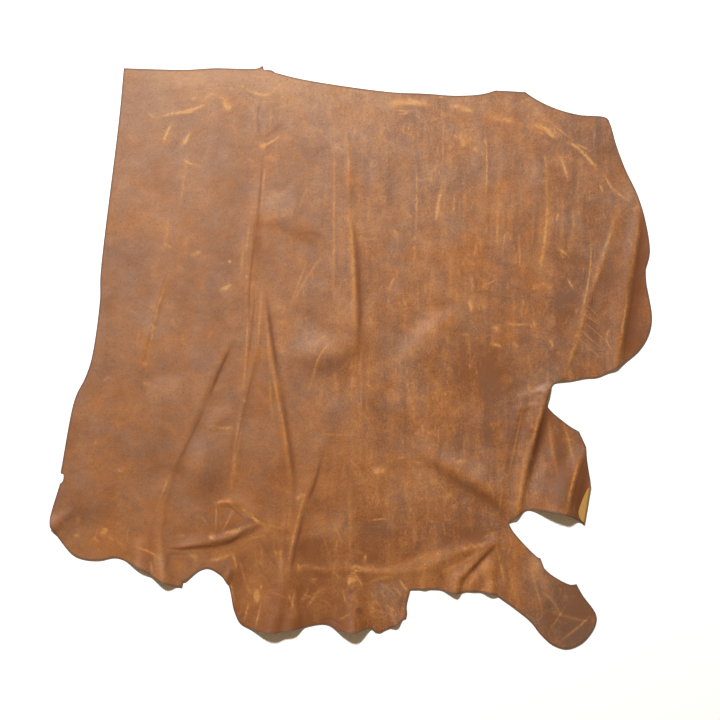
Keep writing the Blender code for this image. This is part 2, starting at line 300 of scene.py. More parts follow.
FOLDS = (
    Fold("thigh pleat", ((948, 584, 4), (957, 515, 7), (968, 432, 8), (982, 341, 6),
                         (995, 254, 0)), 34, 30, 0.8),
    Fold("thigh crease", ((845, 600, 1.5), (870, 524, 2), (909, 412, 2), (951, 297, 0)),
         20, 12, 0.4),
    Fold("hock pleat", ((755, 868, 6), (766, 806, 8), (781, 744, 11), (796, 686, 13),
                        (813, 628, 9)), 28, 24, 0.8),
    Fold("hock cone", ((820, 858, 14), (824, 794, 9), (827, 727, 4), (827, 660, 0)), 44, 60),
    Fold("hock ridge", ((849, 866, 15), (860, 810, 12), (872, 768, 7), (887, 729, 0)),
         56, 40, 0.3),
    Fold("hock gather", ((733, 791, 0), (748, 717, 1.5), (762, 659, 2), (772, 625, 0)), 10, 12),
    Fold("hock brow", ((756, 638, 0), (779, 630, 1.5), (806, 623, 3), (824, 617, 3)), 12, 8, 0.4),
    Fold("hock brow foot", ((748, 662, 0), (766, 657, 1), (792, 650, 1), (806, 646, 0)), 9, 7),
    Fold("flank fold", ((78, 1012, 17), (72, 950, 8), (69, 900, 4), (75, 840, 0)), 34, 30, 0.2),
    Fold("flank hem", ((26, 987, 15), (29, 940, 5), (32, 905, 0)), 44, 44),
    Fold("flank crease", ((70, 900, 0), (85, 814, 1.5), (141, 663, 2.5), (177, 582, 3),
                          (212, 517, 1)), 84, 15, 0.4),
    Fold("flank swell", ((125, 850, 0), (138, 790, 2), (172, 700, 2), (205, 620, 0)), 26, 50),
    Fold("shoulder fold", ((203, 843, 0), (220, 679, 1), (243, 486, 1.5), (247, 331, 4),
                           (252, 290, 3.5), (264, 220, 0.7), (278, 139, 0)), 30, 24, 0.6),
    Fold("fork, neck leg", ((216, 791, 0.5), (233, 644, 1.5), (255, 544, 2), (266, 430, 0)),
         14, 12, 0.4),
    Fold("fork, rib leg", ((316, 890, 2), (323, 818, 4), (301, 659, 5), (283, 540, 5),
                           (267, 418, 0)), 20, 17, 0.5),
    Fold("rib crease", ((448, 552, 0), (448, 486, 4), (444, 389, 5), (436, 302, 4),
                        (426, 96, 0)), 30, 26, 0.7),
    Fold("brisket crease", ((85, 931, 0), (118, 924, 3), (166, 916, 4), (208, 906, 4),
                            (243, 889, 3), (266, 875, 1)), 26, 12, 0.7),
    Fold("brisket ridge", ((170, 846, 0), (201, 839, 1.5), (230, 841, 2), (258, 866, 2),
                           (320, 893, 0)), 20, 14, 0.5),
    Fold("brisket nick", ((195, 995, 4), (203, 978, 4), (212, 958, 0)), 8, 8),
    Fold("udder fold", ((280, 1103, 20), (297, 1037, 10), (316, 972, 5), (341, 848, 3),
                        (382, 748, 0)), 50, 60),
    Fold("udder side", ((326, 1098, 13), (328, 1040, 5), (332, 985, 0)), 30, 28),
    Fold("udder scallop", ((440, 1107, 23), (440, 1037, 9), (440, 972, 0)), 58, 58),
    Fold("udder frill", ((529, 1080, 7), (505, 1037, 0)), 16, 16),
    Fold("belly fold", ((637, 1026, 11), (646, 987, 7), (679, 953, 5), (731, 897, 0)),
         36, 15, 0.4),
    Fold("belly bulge", ((665, 1024, 0), (680, 990, 3), (705, 955, 3), (730, 925, 0)), 18, 26),
    Fold("belly scallop", ((704, 1026, 10), (708, 983, 5), (712, 949, 0)), 24, 22),
    Fold("belly flute", ((579, 1014, 3), (581, 983, 0)), 14, 14),
    Fold("belly ridge", ((336, 960, 0), (397, 964, 1.5), (552, 970, 2), (667, 927, 3),
                         (714, 916, 2)), 26, 34, 0.5),
    Fold("wither wave", ((246, 300, 0), (282, 289, 2.5), (320, 292, 3), (355, 316, 2.5),
                         (385, 350, 0)), 58, 30),
    Fold("rib wave", ((330, 556, 0), (368, 549, 3), (407, 544, 3), (460, 534, 0)), 44, 46),
    Fold("loin wave", ((532, 560, 0), (575, 528, 4), (622, 492, 4), (660, 463, 0)), 42, 62),
    Fold("groin wave", ((556, 733, 0), (610, 760, 4), (667, 791, 5), (745, 856, 0)), 44, 28),
    Fold("neck wave", ((42, 644, 0), (73, 625, 3), (108, 609, 2), (143, 594, 0)), 36, 42),
    Fold("chest wave", ((156, 702, 0), (189, 673, 2), (216, 655, 0)), 26, 26),
    Fold("neck crease", ((31, 586, 0), (46, 520, 3), (66, 447, 3), (81, 389, 0)), 12, 10),
    Fold("shank swell", ((853, 1088, 0), (826, 1026, 4), (799, 972, 4), (741, 891, 0)), 30, 30),
    Fold("neck corner", ((-145, 889, 6), (-120, 868, 3), (-93, 848, 0)), 24, 24),
)

SCUFFS = (
    Strokes("withers", (
        (((60, 98), (93, 88), (127, 83), (156, 69), (170, 56)), 3.3, 0.95),
        (((116, 86), (134, 80)), 5.5, 0.8), (((172, 52), (190, 58), (208, 66)), 4, 0.5),
        (((189, 63), (206, 81)), 5.8, 0.85), (((93, 104), (83, 125), (75, 148)), 3.1, 0.85),
        (((131, 119), (120, 139), (108, 156)), 3.3, 0.85),
        (((216, 27), (247, 46), (278, 52), (301, 40)), 3.1, 0.7),
        (((296, 22), (304, 45), (310, 66)), 2.3, 0.5), (((11, 130), (26, 150)), 3, 0.35),
        (((222, 55), (244, 78), (268, 104)), 3.5, 0.25), (((60, 345), (82, 350)), 4, 0.35),
        (((86, 276), (84, 310), (80, 345)), 5, 0.3),
        (((276, 165), (270, 220), (262, 295)), 3.5, 0.42),
        (((252, 335), (246, 400), (242, 470)), 3.4, 0.42),
        (((232, 320), (229, 365), (226, 408)), 4, 0.35),
        (((408, 80), (406, 200), (405, 320), (403, 480)), 2.7, 0.4),
        (((316, 470), (335, 420), (352, 376)), 1.9, 0.45),
        (((266, 152), (291, 139), (307, 125)), 2.9, 0.7), (((260, 152), (276, 148)), 5, 0.8),
        (((239, 13), (266, 19), (291, 15)), 1.9, 0.4), (((156, 34), (195, 30)), 1.9, 0.35),
        (((114, 177), (137, 189)), 1.7, 0.4), (((340, 46), (374, 52)), 2.3, 0.35),
        (((374, 115), (384, 127)), 3.9, 0.45), (((131, 57), (140, 63)), 5, 0.6),
        (((197, 75), (205, 82)), 5.5, 0.9), (((177, 41), (184, 41)), 4, 0.5),
        (((203, 41), (212, 42)), 4.4, 0.5), (((284, 47), (308, 26)), 2.1, 0.5),
        (((143, 69), (164, 55), (180, 44)), 3.1, 0.6), (((46, 87), (61, 96)), 3.1, 0.5),
        (((125, 154), (117, 210), (107, 275)), 3, 0.4), (((107, 175), (156, 193)), 3, 0.4),
        (((284, 81), (320, 69)), 2.3, 0.45), (((284, 60), (283, 100), (284, 148)), 2.3, 0.4),
        (((80, 60), (140, 52), (200, 44)), 9, 0.22), (((230, 70), (290, 62), (350, 58)), 9, 0.22),
    )),
    Strokes("back arc", (
        (((503, 73), (532, 66), (565, 66), (602, 72)), 6.5, 0.95),
        (((525, 90), (552, 86)), 2.3, 0.45), (((604, 57), (622, 54)), 3.3, 0.5),
        (((627, 70), (650, 77), (681, 85)), 5, 0.9),
        (((694, 88), (725, 98), (764, 108)), 6.5, 0.5), (((773, 74), (791, 67)), 4.5, 0.4),
        (((779, 107), (806, 114), (826, 125), (845, 136)), 6.5, 0.85),
        (((812, 119), (832, 137)), 3.1, 0.6), (((797, 121), (810, 129)), 2.5, 0.5),
        (((845, 139), (870, 150), (895, 173), (918, 206)), 3.3, 0.75),
        (((924, 200), (941, 231), (961, 248), (982, 262)), 2.7, 0.7),
        (((870, 144), (903, 162)), 1.9, 0.45), (((812, 92), (833, 113), (864, 139)), 1.9, 0.5),
        (((407, 46), (436, 44), (478, 50)), 2.1, 0.4), (((874, 177), (887, 183)), 4.2, 0.7),
    )),
    Strokes("loin dabs", (
        (((619, 141), (630, 134)), 3.5, 0.6), (((638, 127), (641, 137)), 3.3, 0.55),
        (((650, 143), (660, 150)), 3.9, 0.6), (((664, 132), (671, 140)), 2.9, 0.5),
        (((673, 154), (683, 160)), 3.9, 0.6), (((625, 152), (634, 158)), 3.1, 0.45),
        (((612, 172), (628, 182), (644, 190)), 8, 0.3), (((541, 113), (537, 124)), 1.7, 0.55),
        (((551, 111), (547, 122)), 1.7, 0.5), (((563, 127), (557, 140)), 1.9, 0.5),
        (((606, 146), (606, 171)), 1.7, 0.4), (((696, 136), (697, 148)), 2.5, 0.5),
        (((810, 165), (816, 196)), 2.7, 0.4), (((834, 160), (848, 186), (860, 222)), 2.3, 0.55),
        (((756, 356), (756, 379)), 1.9, 0.5), (((764, 350), (763, 384)), 1.7, 0.4),
        (((837, 277), (834, 298)), 3.3, 0.6), (((834, 346), (845, 352), (856, 363)), 2.9, 0.6),
        (((687, 421), (704, 415), (722, 406)), 1.7, 0.5), (((549, 444), (549, 452)), 3.7, 0.6),
        (((563, 460), (564, 468)), 3.3, 0.5), (((532, 450), (532, 460)), 3.1, 0.55),
        (((711, 495), (712, 503)), 3.1, 0.5), (((786, 492), (787, 502)), 3.3, 0.5),
        (((560, 325), (563, 334)), 3.5, 0.55), (((557, 344), (559, 352)), 3.1, 0.5),
        (((652, 300), (653, 316)), 2.3, 0.45), (((592, 210), (594, 226)), 2.1, 0.4),
        (((742, 150), (744, 166)), 2.1, 0.35), (((775, 180), (777, 204)), 2.3, 0.4),
        (((590, 330), (588, 352)), 2.3, 0.4), (((700, 300), (699, 322)), 2.5, 0.4),
        (((655, 366), (654, 384)), 2.3, 0.45), (((740, 412), (741, 432)), 2.5, 0.45),
        (((604, 470), (611, 484)), 3.1, 0.45), (((692, 452), (696, 468)), 2.7, 0.45),
        (((770, 444), (772, 460)), 2.5, 0.4), (((650, 512), (668, 516)), 2.9, 0.4),
    )),
    Strokes("loin rubs", (
        (((540, 150), (542, 240), (538, 330)), 9, 0.24),
        (((619, 170), (616, 260), (617, 350)), 10, 0.22),
        (((690, 165), (691, 260), (688, 345)), 10, 0.24),
        (((806, 250), (805, 330), (797, 410)), 9, 0.34),
        (((824, 215), (823, 290), (818, 360)), 5, 0.28),
        (((847, 235), (846, 300), (843, 352)), 4, 0.30),
        (((872, 225), (868, 300), (858, 380)), 8, 0.24),
    )),
    Strokes("loin streaks", (
        (((613, 231), (606, 264), (602, 297)), 3.5, 0.85),
        (((698, 119), (700, 187), (698, 254)), 2.1, 0.55),
        (((723, 258), (720, 302), (720, 351)), 3.1, 0.5), (((718, 266), (731, 258)), 4.6, 0.85),
        (((563, 177), (565, 235), (563, 331)), 2.5, 0.5), (((638, 235), (635, 285)), 2.5, 0.5),
        (((473, 250), (471, 304)), 3.1, 0.4), (((525, 399), (515, 418), (511, 434)), 2.7, 0.6),
        (((538, 439), (546, 466)), 2.9, 0.65), (((579, 416), (583, 436)), 2.5, 0.5),
        (((669, 399), (673, 428)), 3.5, 0.6), (((666, 443), (671, 472)), 4.1, 0.85),
        (((521, 308), (527, 328)), 3.9, 0.4), (((561, 331), (561, 374)), 2.1, 0.5),
        (((679, 331), (677, 366)), 2.5, 0.6), (((762, 312), (764, 382)), 2.1, 0.4),
        (((633, 351), (629, 447)), 3.7, 0.35), (((596, 374), (598, 447)), 3.3, 0.35),
        (((500, 196), (513, 183)), 1.9, 0.4), (((638, 127), (652, 137), (660, 154)), 5, 0.45),
        (((619, 173), (667, 158)), 1.9, 0.35), (((507, 104), (513, 127)), 1.7, 0.35),
        (((532, 121), (561, 131)), 2.7, 0.35), (((586, 96), (606, 100)), 2.1, 0.35),
        (((658, 235), (660, 281)), 2.1, 0.35), (((735, 212), (737, 262)), 2.3, 0.35),
    )),
    Strokes("rump streaks", (
        (((812, 177), (816, 254), (812, 331), (802, 399), (797, 447)), 3.3, 0.5),
        (((894, 296), (901, 351), (893, 428), (874, 505)), 1.7, 0.5),
        (((855, 405), (868, 428)), 2.3, 0.7), (((714, 495), (723, 511)), 4.1, 0.75),
        (((706, 530), (731, 538)), 3.5, 0.7), (((748, 528), (762, 538)), 3.1, 0.65),
        (((729, 488), (756, 495), (787, 493)), 3.3, 0.55), (((789, 482), (795, 505)), 3.5, 0.55),
        (((820, 520), (829, 540)), 2.9, 0.7), (((845, 183), (858, 220)), 2.3, 0.5),
        (((918, 223), (924, 241)), 3.1, 0.6),
        (((953, 264), (934, 331), (912, 399), (895, 447)), 4.2, 0.5),
        (((895, 447), (876, 515), (856, 573), (851, 598)), 4.2, 0.6),
        (((995, 262), (986, 335), (972, 425)), 2.5, 0.5),
        (((972, 420), (960, 505), (950, 573)), 2.9, 0.6),
        (((941, 497), (930, 520), (943, 547)), 1.9, 0.5),
        (((880, 470), (921, 497)), 1.3, 0.4), (((872, 497), (925, 545)), 1.3, 0.4),
        (((868, 512), (912, 552)), 1.2, 0.35), (((885, 487), (935, 530)), 1.2, 0.35),
        (((898, 540), (925, 562)), 1.2, 0.35), (((883, 447), (926, 490)), 1.5, 0.3),
        (((841, 351), (849, 374)), 1.9, 0.4), (((779, 547), (787, 598)), 2.7, 0.3),
        (((764, 216), (768, 281)), 2.5, 0.3), (((791, 264), (787, 351)), 2.3, 0.25),
        (((864, 264), (870, 322)), 2.1, 0.3), (((820, 418), (824, 439)), 2.7, 0.45),
    )),
    Strokes("ribs", (
        (((424, 100), (432, 158), (434, 254)), 3.4, 0.5),
        (((434, 254), (440, 341), (444, 428), (444, 495)), 3.7, 0.6),
        (((446, 333), (498, 329)), 2.5, 0.35),
        (((397, 341), (374, 374), (349, 412), (330, 447), (318, 476)), 3, 0.36),
        (((421, 519), (394, 534), (374, 563), (363, 601), (353, 630)), 1.9, 0.5),
        (((293, 490), (322, 492)), 3.9, 0.5), (((355, 225), (336, 274)), 1.7, 0.3),
        (((390, 216), (386, 281)), 1.9, 0.25), (((378, 706), (448, 708)), 1.7, 0.4),
        (((478, 779), (507, 773)), 5.8, 1), (((525, 752), (544, 750)), 3.1, 0.45),
        (((556, 760), (581, 762)), 2.9, 0.35), (((635, 760), (666, 756)), 3.9, 0.45),
        (((440, 760), (455, 775), (451, 806)), 1.7, 0.4), (((471, 872), (509, 868)), 2.1, 0.5),
        (((394, 351), (399, 374)), 3.9, 0.35), (((561, 632), (586, 644)), 2.7, 0.25),
        (((586, 775), (619, 814), (652, 843)), 1.5, 0.3),
    )),
    Strokes("shoulder", (
        (((89, 390), (66, 460), (52, 525), (42, 574)), 2.9, 0.6),
        (((39, 563), (41, 578)), 4.2, 0.6), (((35, 607), (54, 611)), 3.9, 0.5),
        (((235, 403), (239, 401)), 3.9, 0.9), (((181, 430), (197, 424), (210, 416)), 3.9, 0.8),
        (((203, 370), (206, 376)), 3.9, 0.8), (((127, 362), (152, 353)), 3.9, 0.45),
        (((71, 337), (95, 347)), 2.5, 0.45), (((79, 254), (83, 260)), 3.1, 0.35),
        (((156, 688), (189, 694), (218, 690)), 3.1, 0.45), (((230, 634), (235, 646)), 3.3, 0.65),
        (((268, 418), (262, 486), (258, 547)), 2.5, 0.6),
        (((274, 424), (278, 505), (284, 598)), 2.3, 0.4),
        (((282, 598), (284, 640), (287, 682)), 2.5, 0.45),
        (((241, 447), (237, 534), (230, 630)), 2.1, 0.45),
        (((228, 640), (219, 704), (206, 823)), 4.2, 0.5),
        (((284, 545), (294, 620), (310, 703), (322, 790)), 2.9, 0.5),
        (((332, 835), (343, 823), (353, 827)), 3.3, 0.55), (((-58, 719), (-52, 725)), 3.9, 0.5),
        (((-14, 775), (2, 777)), 3.5, 0.5), (((93, 775), (73, 825), (58, 875)), 2.7, 0.4),
        (((31, 505), (25, 534)), 1.9, 0.3), (((243, 301), (235, 360)), 3.1, 0.45),
        (((93, 476), (98, 505)), 2.1, 0.3),
    )),
    Strokes("brisket", (
        (((172, 839), (201, 835), (218, 839)), 2.7, 0.75),
        (((218, 839), (235, 854), (266, 879), (291, 885), (314, 891)), 4, 0.75),
        (((179, 839), (176, 891)), 2.3, 0.5), (((216, 843), (201, 872), (189, 895)), 2.1, 0.5),
        (((174, 908), (214, 893), (262, 881)), 5.5, 0.5), (((-45, 904), (-38, 892), (-28, 888)), 5.8, 0.6),
        (((-60, 903), (-47, 916)), 3.1, 0.45), (((-30, 900), (-20, 912)), 3.1, 0.45),
        (((-12, 892), (4, 884)), 2.5, 0.3), (((12, 880), (6, 905), (14, 925)), 2.5, 0.3),
        (((162, 903), (178, 905)), 5.5, 0.7), (((60, 935), (66, 985)), 2.3, 0.35),
        (((98, 905), (120, 900)), 2.9, 0.35), (((150, 862), (160, 880)), 2.1, 0.35),
        (((208, 932), (216, 955), (214, 975)), 3.3, 0.5), (((120, 936), (146, 946)), 3.1, 0.45),
        (((231, 915), (250, 905), (276, 902)), 2.9, 0.4),
        (((-93, 870), (-83, 873)), 5.8, 0.45), (((-98, 902), (-85, 902)), 3.9, 0.4),
        (((17, 920), (50, 933), (79, 949)), 2.5, 0.55),
        (((158, 951), (189, 945), (216, 933)), 3.9, 0.5), (((50, 949), (56, 974)), 2.7, 0.35),
        (((-66, 920), (-54, 902), (-48, 881)), 1.9, 0.3), (((-12, 910), (6, 931)), 2.3, 0.3),
        (((69, 926), (112, 931), (176, 927)), 2.3, 0.4),
    )),
    Strokes("udder", (
        (((254, 1000), (257, 1018), (253, 1036)), 6.5, 0.85), (((242, 1028), (231, 1069)), 2.3, 0.6),
        (((234, 993), (246, 1014)), 2.7, 0.5), (((263, 994), (267, 1008)), 3.3, 0.5),
        (((251, 953), (263, 957)), 5.5, 0.55), (((351, 1042), (366, 1022), (380, 1008)), 2.9, 0.34),
        (((338, 1032), (351, 1014), (358, 1002)), 2.9, 0.34), (((357, 1014), (370, 1030)), 2.5, 0.28),
        (((466, 935), (464, 958)), 4.4, 0.5), (((474, 1028), (488, 1030), (497, 1042)), 2.7, 0.36),
        (((356, 802), (341, 850), (328, 905), (316, 958)), 2.3, 0.6),
        (((300, 900), (303, 960), (302, 1010)), 5, 0.35), (((205, 985), (214, 1040)), 2.3, 0.4),
        (((413, 905), (405, 945)), 2.1, 0.35), (((385, 905), (400, 950)), 1.9, 0.3),
        (((330, 1003), (322, 1050)), 2.1, 0.4), (((384, 1024), (402, 1042)), 1.9, 0.35),
        (((421, 1000), (430, 1035)), 2.9, 0.4), (((497, 1003), (505, 1030)), 2.5, 0.35),
        (((470, 1052), (489, 1060), (505, 1056)), 2.7, 0.3), (((520, 1000), (537, 1020)), 2.3, 0.4),
        (((436, 966), (448, 960), (462, 966)), 3.1, 0.5), (((452, 985), (462, 1000)), 3.1, 0.5),
        (((266, 920), (266, 972)), 2.5, 0.45), (((266, 1026), (255, 1080)), 1.9, 0.45),
        (((311, 962), (340, 960), (388, 966), (426, 968)), 5.5, 0.36),
        (((426, 968), (465, 968), (513, 970), (542, 964)), 6, 0.40),
        (((334, 954), (340, 972)), 4.4, 0.5), (((430, 993), (440, 987), (457, 981)), 5, 0.7),
        (((436, 978), (434, 999)), 2.9, 0.6), (((463, 997), (494, 983), (529, 981)), 2.3, 0.45),
        (((529, 983), (540, 999), (548, 1010)), 2.7, 0.8),
        (((340, 1028), (363, 1016), (388, 1003)), 2.7, 0.34),
        (((359, 991), (374, 983)), 2.9, 0.45), (((484, 987), (509, 1003), (529, 1022)), 1.9, 0.4),
        (((433, 794), (436, 864), (436, 953)), 5, 0.36), (((411, 939), (399, 997)), 1.9, 0.35),
        (((397, 960), (421, 989)), 1.7, 0.3), (((287, 910), (297, 953)), 1.9, 0.3),
        (((316, 1010), (332, 1049)), 1.9, 0.35), (((486, 1045), (502, 1051)), 3.5, 0.3),
        (((224, 949), (235, 997)), 2.1, 0.35), (((397, 862), (424, 920)), 1.7, 0.35),
        (((320, 1022), (278, 1007)), 1.7, 0.3), (((413, 1064), (440, 1049)), 1.9, 0.3),
    )),
    Strokes("belly and shank", (
        (((542, 960), (571, 945), (600, 937), (633, 929)), 7, 0.42),
        (((633, 929), (667, 924), (708, 916)), 6, 0.42),
        (((600, 981), (629, 964), (667, 945), (702, 926)), 3.5, 0.4),
        (((720, 922), (729, 968), (735, 1003)), 3.3, 0.5),
        (((739, 941), (748, 987), (754, 1018)), 3, 0.35),
        (((779, 935), (789, 978), (802, 1026), (808, 1061)), 2.7, 0.4),
        (((812, 1043), (860, 1059), (901, 1068)), 3, 0.26),
        (((841, 1105), (876, 1078), (903, 1053)), 2.5, 0.36),
        (((799, 1003), (826, 1026), (845, 1059)), 2.6, 0.26), (((762, 897), (775, 929)), 2.3, 0.4),
        (((638, 974), (667, 981)), 2.1, 0.35), (((693, 906), (725, 891)), 3.1, 0.45),
        (((561, 972), (590, 960)), 1.9, 0.35), (((822, 1084), (853, 1034)), 1.7, 0.3),
        (((667, 997), (687, 964)), 2.1, 0.35),
    )),
    Strokes("hock", (
        (((812, 634), (796, 686), (781, 744)), 2.5, 0.6),
        (((781, 744), (768, 797), (757, 862)), 2.3, 0.6), (((772, 632), (808, 629)), 4.2, 0.2),
        (((888, 731), (873, 768), (861, 808), (850, 860)), 2.7, 0.7),
        (((772, 640), (756, 717), (741, 791)), 1.9, 0.4), (((845, 672), (858, 720), (871, 772)), 3.2, 0.36),
        (((818, 668), (824, 725), (837, 795)), 3.2, 0.34), (((731, 794), (725, 856)), 1.9, 0.35),
    )),
)
# Crease strokes: they sink the grain a little and paint shade into the creases; some wide ones are painted
# shade on slopes turned from the softbox.
CREASE_STROKES_AND_PAINTED_SHADE = (
    Strokes("shoulder creases", (
        (((270, 162), (262, 254), (257, 316)), 2.3, 0.5),
        (((257, 316), (249, 362), (243, 428), (241, 505)), 2.7, 0.7),
        # These two are painted shade on the side of the fork's rib leg turned from the softbox.
        (((274, 430), (283, 500), (292, 560), (301, 611)), 4.2, 0.8),
        (((301, 611), (313, 679), (325, 760), (333, 815)), 5.0, 0.6),
        (((222, 640), (213, 704), (200, 815)), 5, 0.35),
        (((257, 553), (235, 650), (220, 717), (208, 794)), 1.9, 0.45),
        (((210, 530), (189, 576), (162, 640)), 2.9, 0.8),
        (((162, 640), (137, 698), (112, 746), (89, 794)), 2.7, 0.45),
        (((89, 794), (69, 843), (50, 900)), 2.5, 0.3),
        (((253, 432), (247, 505), (237, 586)), 1.7, 0.4),
        (((268, 52), (258, 96), (266, 144)), 1.9, 0.35), (((266, 140), (290, 122), (312, 106)), 5, 0.4),
    )),
    Strokes("rib creases", (
        (((440, 285), (449, 350), (453, 420), (455, 490), (450, 560)), 5.4, 0.8),
        (((384, 744), (371, 794), (351, 847)), 3.3, 1),
        (((351, 847), (338, 899), (326, 955), (318, 985)), 3.7, 1),
        (((318, 843), (312, 920), (320, 978)), 1.7, 0.35),
        (((340, 316), (368, 320), (390, 331)), 4.8, 0.4),
    )),
    Strokes("brisket creases", (
        (((75, 927), (108, 927), (147, 922), (181, 922)), 2.9, 0.9),
        (((181, 922), (208, 912), (233, 893), (258, 883)), 3.9, 1),
        (((210, 962), (204, 978), (199, 991)), 2.9, 0.8),
        (((189, 833), (208, 848), (239, 875)), 1.7, 0.5), (((177, 843), (172, 914)), 1.5, 0.35),
        (((156, 954), (139, 970)), 2.3, 0.4), (((89, 933), (79, 972)), 3.5, 0.4),
    )),
    Strokes("belly creases", (
        (((714, 924), (687, 949), (660, 976)), 3.5, 0.85),
        (((374, 1068), (397, 1062), (428, 1078)), 1.9, 0.55), (((435, 1006), (443, 1014)), 6.5, 1),
        (((453, 1038), (457, 1056)), 5.5, 1), (((253, 949), (274, 980), (293, 1010)), 2.3, 0.35),
        (((257, 900), (280, 940), (304, 975)), 2.1, 0.4),
        (((725, 872), (741, 891)), 3.5, 0.6), (((540, 1010), (534, 1034), (536, 1057)), 2.3, 0.5),
        (((610, 972), (621, 999)), 2.7, 0.4), (((675, 954), (694, 995)), 2.7, 0.4),
    )),
    Strokes("hock creases", (
        (((762, 630), (747, 717), (731, 814), (725, 860)), 2.3, 0.25),
        (((813, 650), (799, 712), (784, 770)), 2.9, 0.5), (((772, 644), (814, 640)), 2.9, 0.35),
        # These two are painted shade beside the thigh pleat's crest: a dark line, then a wide stroke over
        # the slope beyond it.
        (((1004, 258), (995, 341), (981, 432), (971, 505), (961, 590)), 4.0, 1),
        (((1010, 262), (1006, 341), (993, 432), (983, 505), (972, 580)), 13, 0.75),
        # These three are painted shade on the slopes beside the hock pleat and the hock ridge.
        (((815, 665), (802, 712), (788, 764), (773, 826)), 6, 0.6),
        (((902, 742), (895, 775), (885, 818), (876, 866)), 9, 0.9),
        (((894, 742), (881, 776), (869, 814), (859, 864)), 2.4, 0.95),
    )),
)
